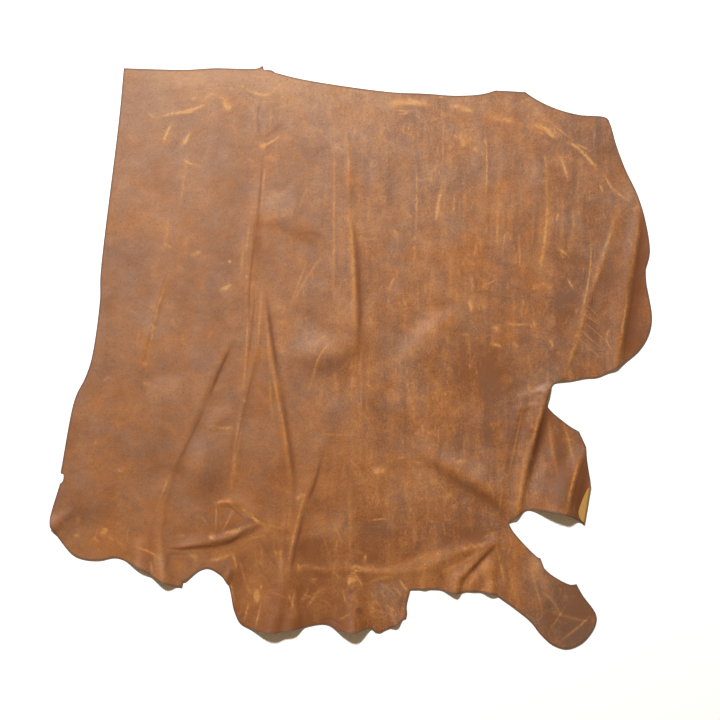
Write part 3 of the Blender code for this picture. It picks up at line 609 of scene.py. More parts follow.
# Patches of tone and warmth over the grain. Their tone paints much of the light and shade of the folds,
# with painted highlights on swells, ridges and by the back line and painted shade in hollows, troughs and
# on slopes turned from the softbox, together with the leather's own paler and darker places.
TONE_AND_PAINTED_LIGHT_PATCHES = (
    Patch("belly side", 420, 880, 620, 300, 0, -0.30, 0.7),
    Patch("rump side", 960, 470, 170, 330, 0, -0.75, 0.1),
    Patch("inner rump", 690, 450, 260, 320, 0, -0.15, 0.35),
    # Painted shade on the hock flap, which slopes away from the softbox.
    Patch("hock flap", 835, 750, 70, 130, 0, -0.7, -0.25),
    Patch("neck foot", -20, 640, 200, 260, 0, -0.20, 0.1),
    # Painted highlight: the corner by the back line is paler and pinker, like the sheen nearest the
    # softbox.
    Patch("neck cut corner", 79, 77, 135, 87, 0, 0.55, -0.45),
    Patch("upper neck", 21, 206, 68, 135, 8, 0.12, -0.3),
    # Painted highlight: the back line is paler and pinker, like the sheen nearest the softbox.
    Patch("back line", 340, 57, 135, 42, 8, 0.5, -0.25),
    Patch("mid neck", -8, 447, 68, 154, 8, 0.05, -0.1),
    # Painted highlight, pale and pinkish like the sheen, on the wither wave.
    Patch("wither swell", 300, 248, 46, 26, 0, 0.35, -0.4),
    Patch("below withers", 312, 318, 52, 15, 12, -0.2, 0.4),
    Patch("rib hollow", 355, 425, 40, 26, 0, 0.25, 0.1),
    # Painted highlight on the rib wave.
    Patch("rib swell", 385, 524, 50, 17, -4, 0.35, -0.35),
    # Painted shade below the rib wave.
    Patch("below ribs", 401, 576, 54, 22, 2, -0.95, 0.1),
    # Painted highlight on the lower rib swell.
    Patch("lower rib swell", 412, 642, 50, 16, -8, 0.55, -0.3),
    # Painted highlight on the loin wave.
    Patch("loin swell", 574, 512, 24, 46, 48, 0.8, -0.4),
    Patch("loin hollow", 594, 575, 44, 24, 0, 0, 0.1),
    # Painted shade in the flank hollow.
    Patch("flank hollow", 677, 556, 60, 42, 0, -0.55, 0.1),
    # Painted shade on the groin wave's slope turned from the softbox.
    Patch("groin wave painted shade", 683, 819, 85, 16, 31, -1.2, 0.1),
    Patch("groin foot", 735, 866, 31, 15, 35, -0.5, 0),
    # Painted highlight on the groin wave.
    Patch("groin swell", 654, 758, 50, 15, 12, 0.1, -0.3),
    # Painted highlight on the neck wave.
    Patch("neck swell", 90, 627, 54, 19, -18, 0.75, -0.35),
    # Painted shade in the neck hollow and at its foot.
    Patch("neck hollow", 73, 574, 35, 23, 10, -0.4, 0),
    Patch("neck hollow foot", 35, 612, 16, 36, -10, -0.7, 0),
    # Painted highlight on the chest wave.
    Patch("chest swell", 199, 667, 39, 15, -20, 0.15, -0.3),
    Patch("chest hollow", 180, 711, 36, 22, 0, 0.25, 0),
    Patch("brisket sheen", 143, 735, 42, 26, -20, 0.45, -0.6),
    # Painted shade in the brisket hollow.
    Patch("brisket hollow", 114, 778, 24, 14, 10, -0.4, 0.1),
    # Painted shade in the belly hollows.
    Patch("belly hollow", 372, 842, 34, 18, 0, -0.4, 0.5),
    Patch("belly hollow, rib side", 412, 770, 30, 14, 0, -0.3, 0.3),
    Patch("belly hollow, tail side", 478, 902, 28, 20, 0, -0.5, 0.2),
    # Painted shade in the udder trough between the lifted folds.
    Patch("udder trough", 352, 1030, 20, 46, 0, -0.8, 0.3),
    Patch("above the udder", 330, 926, 60, 16, 0, -0.9, 0.3),
    Patch("udder edge", 220, 985, 20, 52, 10, -1.1, 0.2),
    # Painted highlight on the flank fold's ridge.
    Patch("flank ridge", 72, 955, 9, 26, -5, 0.5, -0.5),
    # Painted shade at the foot of the flank ridge.
    Patch("flank ridge foot", 55, 955, 7, 26, -5, -0.8, 0.2),
    Patch("flank ridge shade", 92, 950, 10, 28, 0, -0.6, 0.2),
    # Painted shade in the brisket trough.
    Patch("brisket trough", 188, 908, 32, 9, -12, -0.8, 0.2),
    Patch("belly sheen", 379, 892, 27, 18, 0, 0.6, -0.5),
    Patch("belly dimple", 378, 806, 26, 18, 0, 0.8, 0.2),
    Patch("fork shade", 290, 794, 31, 42, 0, -0.7, 0.5),
    Patch("neck corner", -86, 866, 50, 42, 0, -0.9, 0.3),
    Patch("lower neck", -8, 833, 48, 58, 0, -0.12, 0),
    Patch("neck hem", -27, 920, 96, 27, 8, 0, 0.5),
    Patch("udder", 349, 1022, 145, 66, 0, -0.35, 1.3),
    Patch("udder grey", 500, 1020, 40, 38, 0, -0.12, -1.1),
    Patch("udder shade", 426, 1035, 35, 50, 0, -0.3, 0.6),
    Patch("flank hem", 79, 964, 48, 35, 25, 0.1, 0.2),
    Patch("shank", 860, 1058, 76, 81, -30, -1.5, -0.5),
    Patch("shank root", 754, 972, 50, 39, 30, -0.15, 0.35),
    # Painted shade on the flap beyond the thigh pleat, and over the sheen of the pleat's near slope.
    Patch("thigh flap painted shade", 1000, 418, 26, 154, 4, -0.75, 0.3),
    Patch("thigh slope painted shade", 958, 400, 12, 90, 5, -0.5, 0.5),
    Patch("thigh", 889, 515, 58, 54, 0, -0.25, 0.05),
    Patch("rump", 841, 158, 96, 58, 20, -0.1, 0.2),
    Patch("tail head", 754, 71, 58, 27, 0, -0.3, -0.6),
    Patch("loin", 571, 216, 116, 116, 0, 0.05, -0.05),
    Patch("lower loin", 610, 370, 135, 96, 0, -0.08, 0.1),
    Patch("hock sheen", 790, 800, 18, 40, 10, 0.75, -0.4),
    Patch("hock brow sheen", 789, 630, 25, 8, -6, 0.8, -0.8),
    # Painted shade right of the hock pleat's crest, and on the wedge beyond the hock ridge.
    Patch("hock shade", 815, 690, 17, 48, 20, -1.1, 0.1),
    Patch("hock wedge painted shade", 890, 806, 15, 52, 12, -2.8, 0),
    Patch("hock outer", 862, 717, 26, 40, 15, 0, 0.3),
    Patch("belly", 590, 891, 154, 42, 0, -0.45, 0.25),
    Patch("lower belly", 638, 978, 116, 27, 0, -0.15, 0.3),
    Patch("mid hide", 532, 679, 154, 87, 0, 0.02, -0.05),
    Patch("flank", 378, 717, 116, 50, 0, 0.05, -0.1),
    Patch("rib shade", 459, 418, 14, 112, 0, -0.4, 0),
    Patch("shoulder shade", 258, 322, 9, 50, 2, -0.4, 0.2),
    Patch("shoulder light", 235, 322, 15, 66, 3, 0.25, -0.2),
    Patch("hock root", 764, 592, 39, 42, 0, 0.2, -0.2),
    Patch("square corner glow", 200, 12, 210, 26, 1, 1.1, -0.4),
    Patch("loin dip glow", 508, 62, 34, 20, 5, 0.7, -0.3),
    Patch("tail head glow", 665, 66, 38, 20, 0, 0.9, -0.5),
    Patch("upper neck glow", 120, 205, 40, 46, 0, 0.4, -0.1),
    Patch("mid loin glow", 575, 340, 32, 38, 0, 0.5, 0),
    Patch("upper rump glow", 716, 278, 28, 26, 0, 0.75, 0.1),
    Patch("lower loin glow", 682, 388, 42, 36, 0, 0.35, 0.5),
    Patch("belly glow", 560, 806, 50, 42, 0, 0.7, 0),
    Patch("flank foot glow", 340, 884, 56, 20, 0, 0.6, 0.4),
    # These darker patches only darken the grain at their places.
    Patch("flank darkening", 713, 600, 48, 84, 0, -1.3, 0.15),
    Patch("hock root darkening", 766, 698, 26, 52, 12, -0.9, 0),
    # Painted shade on the hock flap, which slopes away from the softbox.
    Patch("hock flap painted shade", 836, 795, 30, 46, 8, -1.7, -0.3),
    Patch("rump corner darkening", 911, 130, 32, 40, 0, -0.8, -0.9),
    Patch("upper rump darkening", 841, 302, 32, 34, 0, -0.55, -0.3),
    Patch("thigh fold darkening", 940, 390, 18, 50, 6, -0.8, 0),
    Patch("thigh foot darkening", 975, 520, 22, 30, 0, -0.8, 0),
    Patch("neck darkening", 78, 725, 32, 60, 0, -0.7, 0),
    Patch("shoulder darkening", 192, 366, 26, 34, 0, -0.75, 0),
    Patch("neck cut darkening", -107, 715, 18, 42, 8, -0.8, 0),
    # Painted shade over the sheen of the brisket ridge, with warmer colour.
    Patch("brisket ridge painted shade", 212, 892, 54, 12, -22, -2.0, 1.0),
    Patch("belly ridge darkening", 378, 962, 26, 22, 0, -1.2, 0),
    Patch("belly darkening", 488, 890, 36, 48, 0, -0.8, -0.1),
    Patch("groin darkening", 662, 905, 38, 34, 0, -1.8, -0.2),
    Patch("groin foot darkening", 652, 962, 18, 26, 0, -0.9, 0),
    Patch("udder hem darkening", 330, 1092, 190, 34, 0, -1.9, 0.3),
    Patch("shank darkening", 876, 1010, 24, 42, -30, -1.6, 0),
    Patch("withers cool", 106, 32, 42, 34, 0, 0, -0.75),
    Patch("withers cool, tail side", 254, 50, 28, 46, 0, 0, -1.3),
    Patch("back cool", 330, 148, 32, 34, 0, 0, -0.35),
    Patch("loin cool, back side", 474, 114, 32, 28, 0, 0, -0.35),
    Patch("rib cool", 380, 242, 28, 42, 0, 0, -0.9),
    Patch("loin cool", 578, 208, 44, 38, 0, 0, -0.9),
    Patch("loin cool, tail side", 687, 176, 32, 46, 0, 0, -0.95),
    Patch("rump cool", 860, 310, 24, 36, 0, 0, -0.8),
    Patch("shoulder cool", 176, 428, 30, 40, 0, 0, -0.7),
    Patch("neck cool", 55, 495, 52, 38, 0, 0, -0.7),
    Patch("upper neck cool", 28, 232, 30, 50, 0, 0, -0.35),
    Patch("mid hide cool", 500, 640, 64, 64, 0, 0, -0.4),
    Patch("groin cool", 683, 746, 28, 52, 0, 0, -1.0),
    Patch("belly cool", 503, 886, 30, 34, 0, 0, -0.35),
    Patch("shank cool", 806, 990, 34, 44, -30, 0, -1.3),
    Patch("brisket cool", -84, 900, 40, 30, 0, 0, -0.35),
    Patch("shoulder fold warm", 254, 302, 24, 48, 0, 0.1, 0.9),
    Patch("chest warm", 250, 640, 34, 34, 0, 0, 0.8),
    Patch("neck swell warm", 108, 587, 38, 32, 0, 0.1, 0.35),
    Patch("rib warm", 452, 530, 28, 42, 0, 0, 1.0),
    Patch("flank warm", 390, 780, 46, 56, 0, 0.2, 1.0),
    Patch("flank foot warm", 325, 885, 58, 32, 0, 0, 0.9),
    Patch("brisket warm", 174, 908, 30, 34, 0, 0, 1.2),
    Patch("udder warm", 430, 1004, 40, 66, 0, 0, 1.7),
    Patch("shoulder bend sheen", 190, 425, 26, 12, -20, 0.1, -0.45),
    Patch("neck bend shade", 120, 452, 36, 24, 30, -0.35, 0),
    Patch("belly warm", 610, 988, 24, 24, 0, 0, 0.5),
    Patch("upper neck shade", 54, 225, 26, 90, 5, -0.1, 0),
    Patch("shoulder bend", 176, 476, 28, 66, 0, -0.6, 0),
    Patch("loin shade, tail side", 685, 200, 34, 32, 0, -0.9, 0),
    Patch("rump shade, back side", 783, 292, 28, 32, 0, -0.85, 0),
    Patch("rump shade, tail side", 858, 430, 28, 56, 0, -0.8, 0),
    Patch("mid shade", 635, 592, 76, 30, 0, -0.9, 0),
    Patch("mid shade, rib side", 470, 634, 34, 48, 0, -0.8, 0),
    Patch("mid shade, belly side", 513, 688, 38, 38, 0, -0.9, 0),
    Patch("groin shade", 660, 750, 46, 30, 10, -0.9, 0),
    Patch("groin shade, belly side", 696, 833, 26, 24, 0, -0.4, 0),
    Patch("udder root shade", 465, 949, 28, 28, 0, -1.1, 0),
    Patch("flank hem shade", 21, 939, 30, 22, 15, -1.0, 0),
    Patch("rib shade, loin side", 523, 360, 24, 40, 0, -0.45, -0.4),
    Patch("back edge glow", 400, 42, 180, 24, 6, 0.55, -0.5),
    Patch("rump edge glow", 790, 90, 36, 18, 22, 0.4, -0.2),
    Patch("rib glow", 474, 302, 28, 50, 0, 0.6, 0),
    Patch("shoulder glow", 140, 245, 42, 46, 0, 0.45, 0),
    Patch("rib hollow glow", 440, 472, 48, 28, 0, 0.8, 0),
    Patch("loin foot glow", 571, 546, 42, 20, -20, 0.6, 0),
    Patch("rump rim glow", 974, 240, 14, 40, 12, 0.8, -0.6),
    Patch("groin glow", 610, 758, 36, 14, 10, 0.2, 0),
    Patch("belly hem glow", 581, 978, 36, 22, 0, 0.7, 0.2),
    Patch("belly hem glow, shank side", 687, 958, 24, 30, 0, 0.7, 0),
    Patch("shank root glow", 783, 968, 34, 30, 0, 0.6, 0),
    Patch("hock outer glow", 862, 664, 26, 26, 0, 0.5, 0),
    Patch("rib cool, belly side", 397, 409, 28, 48, 0, 0, -0.45),
    Patch("rump cool, back side", 793, 216, 32, 48, 0, 0, -0.45),
    Patch("loin warm", 655, 352, 64, 40, 0, 0, 0.8),
    Patch("loin swell warm", 540, 482, 50, 34, 0, 0, 0.5),
    Patch("rib wave cool", 345, 508, 28, 38, 0, 0, -0.8),
    Patch("neck cool, belly side", 89, 680, 36, 38, 0, 0, -0.45),
    Patch("neck cut cool", -85, 756, 20, 46, 8, 0, -0.45),
    Patch("neck foot warm", -25, 785, 28, 84, 0, 0, 0.5),
    Patch("belly glow warm", 470, 806, 60, 36, 0, 0, 0.6),
    Patch("flank hem cool", 50, 958, 30, 20, 15, 0, -0.5),
    Patch("udder warm, shank side", 426, 1064, 36, 26, 0, 0, 0.5),
    Patch("udder warm, neck side", 282, 1040, 42, 48, 0, 0, 0.8),
    Patch("rump warm", 905, 290, 22, 50, 0, 0, 0.6),
    Patch("belly warm, hem side", 600, 1007, 26, 16, 0, 0, 0.5),
    Patch("hock root warm", 735, 852, 20, 28, 0, 0, 0.4),
    Patch("loin glow", 620, 345, 60, 34, 0, 0.45, 0),
    Patch("thigh fold glow", 980, 430, 7, 70, 7, 0.7, 0),
    Patch("flank shade", 690, 700, 44, 26, 0, -0.6, 0),
    Patch("shoulder foot shade", 176, 800, 28, 34, 0, -1.0, 0),
    Patch("back glow", 410, 118, 140, 44, 4, 0.55, -0.55),
    Patch("shoulder cool, back side", 185, 160, 34, 50, 0, 0, -0.55),
    Patch("shoulder cool, belly side", 205, 544, 28, 34, 0, 0, -0.5),
    Patch("flank cool", 745, 679, 26, 38, 0, 0, -0.5),
    Patch("rump warm, belly side", 783, 440, 32, 70, 0, 0, 0.6),
    Patch("mid warm", 616, 645, 34, 60, 0, 0, 0.8),
    Patch("wave end glow", 280, 308, 22, 32, 0, 0.7, 0),
    Patch("loin dip shade", 452, 62, 22, 24, 0, -0.4, 0),
    Patch("back glow, loin side", 520, 158, 34, 34, 0, 0.45, 0),
    Patch("rib glow, back side", 436, 214, 26, 34, 0, 0.4, 0),
    Patch("rump corner shade", 905, 160, 42, 20, 10, -0.45, 0),
    Patch("rib wave shade", 349, 476, 30, 24, 30, -0.45, 0),
    Patch("udder shade, shank side", 494, 1007, 24, 24, 0, -0.5, -0.3),
    Patch("belly darkening, hem side", 581, 939, 30, 20, 0, -0.6, 0),
    Patch("tail head shade", 612, 72, 24, 24, 0, -0.5, 0),
    Patch("brisket shade", 118, 898, 26, 18, 0, -0.5, 0),
    Patch("loin warm, tail side", 783, 293, 26, 40, 0, 0, 0.5),
    Patch("rib foot warm", 465, 563, 30, 34, 0, 0, 0.5),
    Patch("groin cool, belly side", 687, 794, 26, 24, 0, 0, -0.5),
    Patch("thigh cool", 889, 524, 26, 26, 0, 0, -0.5),
    Patch("udder root trough", 372, 916, 34, 14, 0, -0.5, 0.3),
    Patch("udder fold shade", 300, 1000, 16, 60, 8, -0.5, 0.3),
    Patch("udder mid shade", 424, 1052, 26, 34, 0, -0.5, 0.4),
)


@dataclass
class StrokeMap:
    """Packs strokes into three channels, so that no two strokes of a channel lie close together.

    A channel keeps, for each point, the signed distance to its nearest stroke in half widths. That
    grows evenly across the mesh, so a shader can draw a line finer than the mesh from it.
    """

    strokes: tuple
    mesh_step: float
    channels: int = 3
    far: float = 12.0
    taper: float = 0.28
    sample_steps: float = 2.0
    reach_steps: float = 2.2
    reach_widths: float = 2.6
    clear_steps: float = 4.0

    def fields(self, points: np.ndarray) -> tuple[np.ndarray, np.ndarray]:
        """Work out the channels' distances and strengths at each point.

        Args:
            points: X and Y in metres from the square-cut corner.

        Returns:
            Signed distance in half widths and strength, each with one column per channel.
        """
        gap = np.full((len(points), self.channels), self.far)
        depth = np.zeros((len(points), self.channels))
        taken: list[list[np.ndarray]] = [[] for _ in range(self.channels)]
        for group in self.strokes:
            for line_mm, half_width_mm, strength in group.rows:
                line = smooth_curve(on_table(line_mm), self.sample_steps * self.mesh_step)
                channel = self.free_channel(taken, line)
                taken[channel].append(line)
                half_width = half_width_mm * MM
                near = max(half_width + self.reach_steps * self.mesh_step,
                           self.reach_widths * half_width)
                low, high = line.min(axis=0) - near, line.max(axis=0) + near
                close = np.flatnonzero(((points > low) & (points < high)).all(axis=1))
                found = nearest_on(line, points[close])
                signed = np.clip(found.distance / half_width, -self.far, self.far)
                ends = np.minimum(found.along, 1 - found.along) / self.taper
                fade = strength * np.clip(ends, 0.0, 1.0)
                fade = np.where(np.abs(found.distance) < near, fade, 0)
                better = np.abs(signed) < np.abs(gap[close, channel])
                gap[close[better], channel] = signed[better]
                depth[close[better], channel] = fade[better]
        return gap, depth

    def free_channel(self, taken: list[list[np.ndarray]], line: np.ndarray) -> int:
        """Choose the first channel whose strokes all lie clear of a line, or the clearest one.

        Args:
            taken: the lines that each channel holds already.
            line: the line to place.

        Returns:
            The channel's number.
        """
        clearance = []
        for lines in taken:
            gaps = [np.linalg.norm(other[:, None] - line[None], axis=2).min() for other in lines]
            clearance.append(min(gaps, default=math.inf))
            if clearance[-1] > self.clear_steps * self.mesh_step:
                return len(clearance) - 1
        return int(np.argmax(clearance))


@dataclass
class Hide:
    """The one piece of leather: its cut, its thickness, its folds and the marks on its grain."""

    outline: tuple
    folds: tuple
    scuffs: tuple
    creases: tuple
    patches: tuple
    thickness: float = 2.0 * MM
    mesh_step: float = 4.9 * MM
    edge_step: float = 4.0 * MM
    edge_clear_steps: float = 0.6
    edge_sampling: int = 3
    edge_limit: float = 30 * MM
    merge_distance: float = 1e-7
    turn_top: tuple = (897, 803)
    turn_foot: tuple = (884, 879)
    turn_radius: float = 3.5 * MM
    turn_margin: float = 10 * MM
    bend_rows: int = 8
    bend_row_steps: float = 0.6
    bend_clear_steps: float = 0.25
    bend_border_steps: float = 0.5
    run_radii: float = 5.0
    swell: float = 0.9 * MM
    swell_lengths: tuple = (0.095, 0.05)
    swell_waves: int = 7
    swell_stretch: tuple = (0.8, 1.3)
    swell_flatness: float = 0.6
    seed: int = 4
    middle: np.ndarray = field(default_factory=lambda: np.zeros(2))
    area: float = 0.0
    cut_size: tuple = (0.0, 0.0)

    def cut_edge(self, step: float) -> np.ndarray:
        """Draw the closed outline of the leather as laid flat.

        Args:
            step: distance in metres between samples, roughly.

        Returns:
            X and Y of the samples.
        """
        corners = [on_table(stretch.points) for stretch in self.outline]
        loop = []
        for corner, following in zip(corners, corners[1:] + corners[:1]):
            loop.append(smooth_curve(np.vstack((corner, following[:1])), step)[:-1])
        return np.vstack(loop)

    @staticmethod
    def inside(loop: np.ndarray, points: np.ndarray) -> np.ndarray:
        """Find the points in a closed loop: a ray to the right crosses it an odd number of times.

        Args:
            loop: the closed loop.
            points: X and Y.

        Returns:
            True for each point within the loop.
        """
        within = np.zeros(len(points), dtype=bool)
        x, y = points.T
        for (x0, y0), (x1, y1) in zip(loop, np.roll(loop, -1, axis=0)):
            if y0 == y1:
                continue
            spans = (y0 > y) != (y1 > y)
            within ^= spans & (x < x0 + (y - y0) / (y1 - y0) * (x1 - x0))
        return within

    def lattice(self, loop: np.ndarray) -> np.ndarray:
        """Points of an even triangular lattice that lie within the cut, clear of its edge.

        Rows are sqrt(3)/2 of a step apart, and every second row is shifted by half a step.

        Args:
            loop: the closed outline.

        Returns:
            The lattice points and their distance to the edge, as three columns.
        """
        low, high = loop.min(axis=0), loop.max(axis=0)
        row = self.mesh_step * math.sqrt(3) / 2
        x, y = np.meshgrid(np.arange(low[0], high[0], self.mesh_step),
                           np.arange(low[1], high[1], row))
        x[1::2] += self.mesh_step / 2
        points = np.column_stack((x.ravel(), y.ravel()))
        points = points[self.inside(loop, points)]
        coarse = np.vstack((loop[::self.edge_sampling], loop[:1]))
        distance = np.abs(nearest_on(coarse, points).distance)
        clear = distance > self.edge_clear_steps * self.mesh_step
        return np.column_stack((points[clear], distance[clear]))

    def turn_frame(self) -> tuple[np.ndarray, np.ndarray, np.ndarray, float]:
        """Work out the line where the corner turns over.

        Returns:
            Its start, its direction, its outward normal and its length in metres.
        """
        top, foot = on_table((self.turn_top, self.turn_foot))
        length = float(np.linalg.norm(foot - top))
        along = (foot - top) / length
        return top, along, np.array((-along[1], along[0])), length

    def turn_lattice(self, loop: np.ndarray) -> np.ndarray:
        """Place extra rows of points on the turned corner, evenly spaced across its bend.

        Args:
            loop: the closed outline.

        Returns:
            The points and their distance to the edge, as three columns.
        """
        top, along, outward, length = self.turn_frame()
        bend = math.pi * self.turn_radius
        end = bend + self.run_radii * self.turn_radius
        down, past = np.meshgrid(np.arange(0, length, self.bend_row_steps * self.mesh_step),
                                 np.arange(0, end, bend / self.bend_rows))
        points = top + down.ravel()[:, None] * along + past.ravel()[:, None] * outward
        points = points[self.inside(loop, points)]
        distance = np.abs(nearest_on(np.vstack((loop, loop[:1])), points).distance)
        clear = distance > self.bend_clear_steps * self.mesh_step
        return np.column_stack((points[clear], distance[clear]))

    def pattern(self) -> tuple[np.ndarray, np.ndarray, list]:
        """Cut the flat pattern into triangles whose border is the outline itself.

        Returns:
            X and Y of its points, their distance to the cut edge, and the triangles.
        """
        loop = self.cut_edge(self.edge_step)
        bend = self.turn_lattice(loop)
        plain = self.lattice(loop)
        top, along, outward, length = self.turn_frame()
        past = (plain[:, :2] - top) @ outward
        down = (plain[:, :2] - top) @ along
        border_width = self.bend_border_steps * self.mesh_step
        on_bend = (past > -border_width) & (down > 0) & (down < length)
        plain = plain[~on_bend]
        edge = np.column_stack((loop, np.zeros(len(loop))))
        rows = np.vstack((edge, bend, plain))
        border = [list(range(len(loop)))]
        found = delaunay_2d_cdt(rows[:, :2].tolist(), [], border, INSIDE_ONLY,
                                self.merge_distance)
        points = np.array([tuple(point) for point in found[0]])
        first = np.array([origin[0] for origin in found[3]])
        self.area = self.loop_area(loop)
        self.cut_size = tuple(np.ptp(loop, axis=0).tolist())
        return points, rows[first, 2], found[2]

    @staticmethod
    def loop_area(loop: np.ndarray) -> float:
        """Area of a closed loop: half the sum of the cross products of its neighbouring points."""
        after = np.roll(loop, -1, axis=0)
        return float(abs(np.sum(loop[:, 0] * after[:, 1] - loop[:, 1] * after[:, 0])) / 2)

    def swells(self, points: np.ndarray) -> np.ndarray:
        """Slight unevenness of leather lying by its own weight, in metres above the table.

        It is a sum of sine waves in seeded random directions and phases, for each of a few
        lengths. Only what rises over the mean is kept, so the leather still lies flat elsewhere.

        Args:
            points: X and Y of the flat pattern.

        Returns:
            Height in metres, per point.
        """
        chance = np.random.default_rng(self.seed)
        total = np.zeros(len(points))
        for length in self.swell_lengths:
            for _ in range(self.swell_waves):
                angle, phase = chance.uniform(0, 2 * math.pi, 2)
                stretch = chance.uniform(*self.swell_stretch)
                heading = np.array((math.cos(angle), math.sin(angle) * self.swell_flatness))
                wave = heading * 2 * math.pi
                total += np.sin(points @ wave / (length * stretch) + phase)
        return np.maximum(total / self.swell_waves, 0) * self.swell

    def laid_out(self, points: np.ndarray) -> tuple[np.ndarray, np.ndarray]:
        """Lay the flat pattern on the table, with its folds raised and its corner turned over.

        Past the turning line, the leather follows a half circle of the turning radius, and then
        runs back level over itself.

        Args:
            points: X and Y of the flat pattern.

        Returns:
            X, Y and Z of the flesh side, and the closeness to a fold's crest, per point.
        """
        top, along, outward, length = self.turn_frame()
        past = (points - top) @ outward
        down = (points - top) @ along
        margin = self.turn_margin
        bent = (past > 0) & (down > -margin) & (down < length + margin)
        past = np.where(bent, past, 0)
        foot = points - outward * past[:, None]
        shapes = [fold.shape(foot) for fold in self.folds]
        height = sum(shape[0] for shape in shapes) + self.swells(foot)
        closeness = np.clip(sum(shape[1] for shape in shapes), 0, 1)
        angle = np.minimum(past / self.turn_radius, math.pi)
        reach = self.turn_radius * np.sin(angle) - (past - angle * self.turn_radius)
        flat = foot + outward * np.where(bent, reach, 0)[:, None]
        height = height + self.turn_radius * (1 - np.cos(angle))
        self.middle = (flat.min(axis=0) + flat.max(axis=0)) / 2
        return np.column_stack((flat - self.middle, height)), closeness

    def build(self, finishes: "dict[Side, Nodes]") -> bpy.types.Object:
        """Build the piece: the flesh side as laid out, thickened upwards to the grain side.

        Args:
            finishes: the finished material of each side.

        Returns:
            The object, at the origin, with its place in its mesh.
        """
        points, to_edge, triangles = self.pattern()
        places, closeness = self.laid_out(points)
        mesh = bpy.data.meshes.new("waxed_hide")
        mesh.from_pydata(places.tolist(), [], triangles)
        facing = np.zeros(len(mesh.polygons) * 3)
        mesh.polygons.foreach_get("normal", facing)
        if facing[2::3].sum() < 0:
            mesh.flip_normals()
        mesh.shade_smooth()
        self.mark_border(mesh)
        self.mark_surface(mesh, points, to_edge, closeness)
        for side in sorted(Side, key=lambda each: each.value):
            mesh.materials.append(finishes[side].material)
        piece = bpy.data.objects.new("waxed_hide", mesh)
        bpy.context.scene.collection.objects.link(piece)
        self.thicken(piece)
        LOG.info("hide: %d points a side, %.2f m2 cut", len(points), self.area)
        return piece

    def mark_border(self, mesh: bpy.types.Mesh) -> None:
        """Mark the edges that only one triangle uses as sharp, so the cut stays crisp.

        Args:
            mesh: the flesh side's mesh.
        """
        corner_edges = np.zeros(len(mesh.loops), dtype=np.int32)
        mesh.loops.foreach_get("edge_index", corner_edges)
        uses = np.bincount(corner_edges, minlength=len(mesh.edges))
        sharp = mesh.attributes.new("sharp_edge", "BOOLEAN", "EDGE")
        sharp.data.foreach_set("value", uses == 1)

    def mark_surface(self, mesh: bpy.types.Mesh, points: np.ndarray, to_edge: np.ndarray,
                     closeness: np.ndarray) -> None:
        """Store what the finishes read at each point of the pattern.

        Args:
            mesh: the flesh side's mesh.
            points: X and Y of the flat pattern.
            to_edge: distance to the cut edge in metres.
            closeness: closeness to a fold's crest, from 0 to 1.
        """
        scuff_gap, scuff_depth = StrokeMap(self.scuffs, self.mesh_step).fields(points)
        crease_gap, crease_depth = StrokeMap(self.creases, self.mesh_step).fields(points)
        # The patches' tone is painted light and shade of the folds as well as the leather's own tone.
        tone = sum(patch.share(points) * patch.tone for patch in self.patches)
        warmth = sum(patch.share(points) * patch.warmth for patch in self.patches)
        cast = np.column_stack((tone, warmth, closeness))
        flat = np.column_stack((points, np.minimum(to_edge, self.edge_limit)))
        for name, values in (("scuff_gap", scuff_gap), ("scuff_depth", scuff_depth),
                             ("crease_gap", crease_gap), ("crease_depth", crease_depth),
                             ("cast", cast), ("flat_place", flat)):
            layer = mesh.attributes.new(name, "FLOAT_VECTOR", "POINT")
            layer.data.foreach_set("vector", values.astype(np.float32).ravel())

    def thicken(self, piece: bpy.types.Object) -> None:
        """Give the sheet its thickness towards the grain side, and the cut edge its own finish.

        Args:
            piece: the object of the flesh side.
        """
        solid = piece.modifiers.new("thickness", "SOLIDIFY")
        solid.thickness = self.thickness
        solid.offset = 1.0
        solid.use_rim = True
        solid.material_offset = Side.FLESH.value
        solid.material_offset_rim = Side.CUT.value


@dataclass(frozen=True)
class Cloud:
    """A noise: scale per metre, detail, roughness, distortion, stretch, and turn in degrees."""

    scale: float
    detail: float = 3.0
    roughness: float = 0.55
    distortion: float = 0.0
    stretch: tuple = ()
    turn: float = 0.0


@dataclass(frozen=True)
class Rise:
    """A smooth step of a pattern from low to high, times a span, on top of a least value."""

    low: float
    high: float
    span: float = 1.0
    least: float = 0.0


@dataclass(frozen=True)
class Weight:
    """How much a named layer counts all over, and how much more it counts on the tail side."""

    layer: str
    share: float
    tail_share: float = 0.0


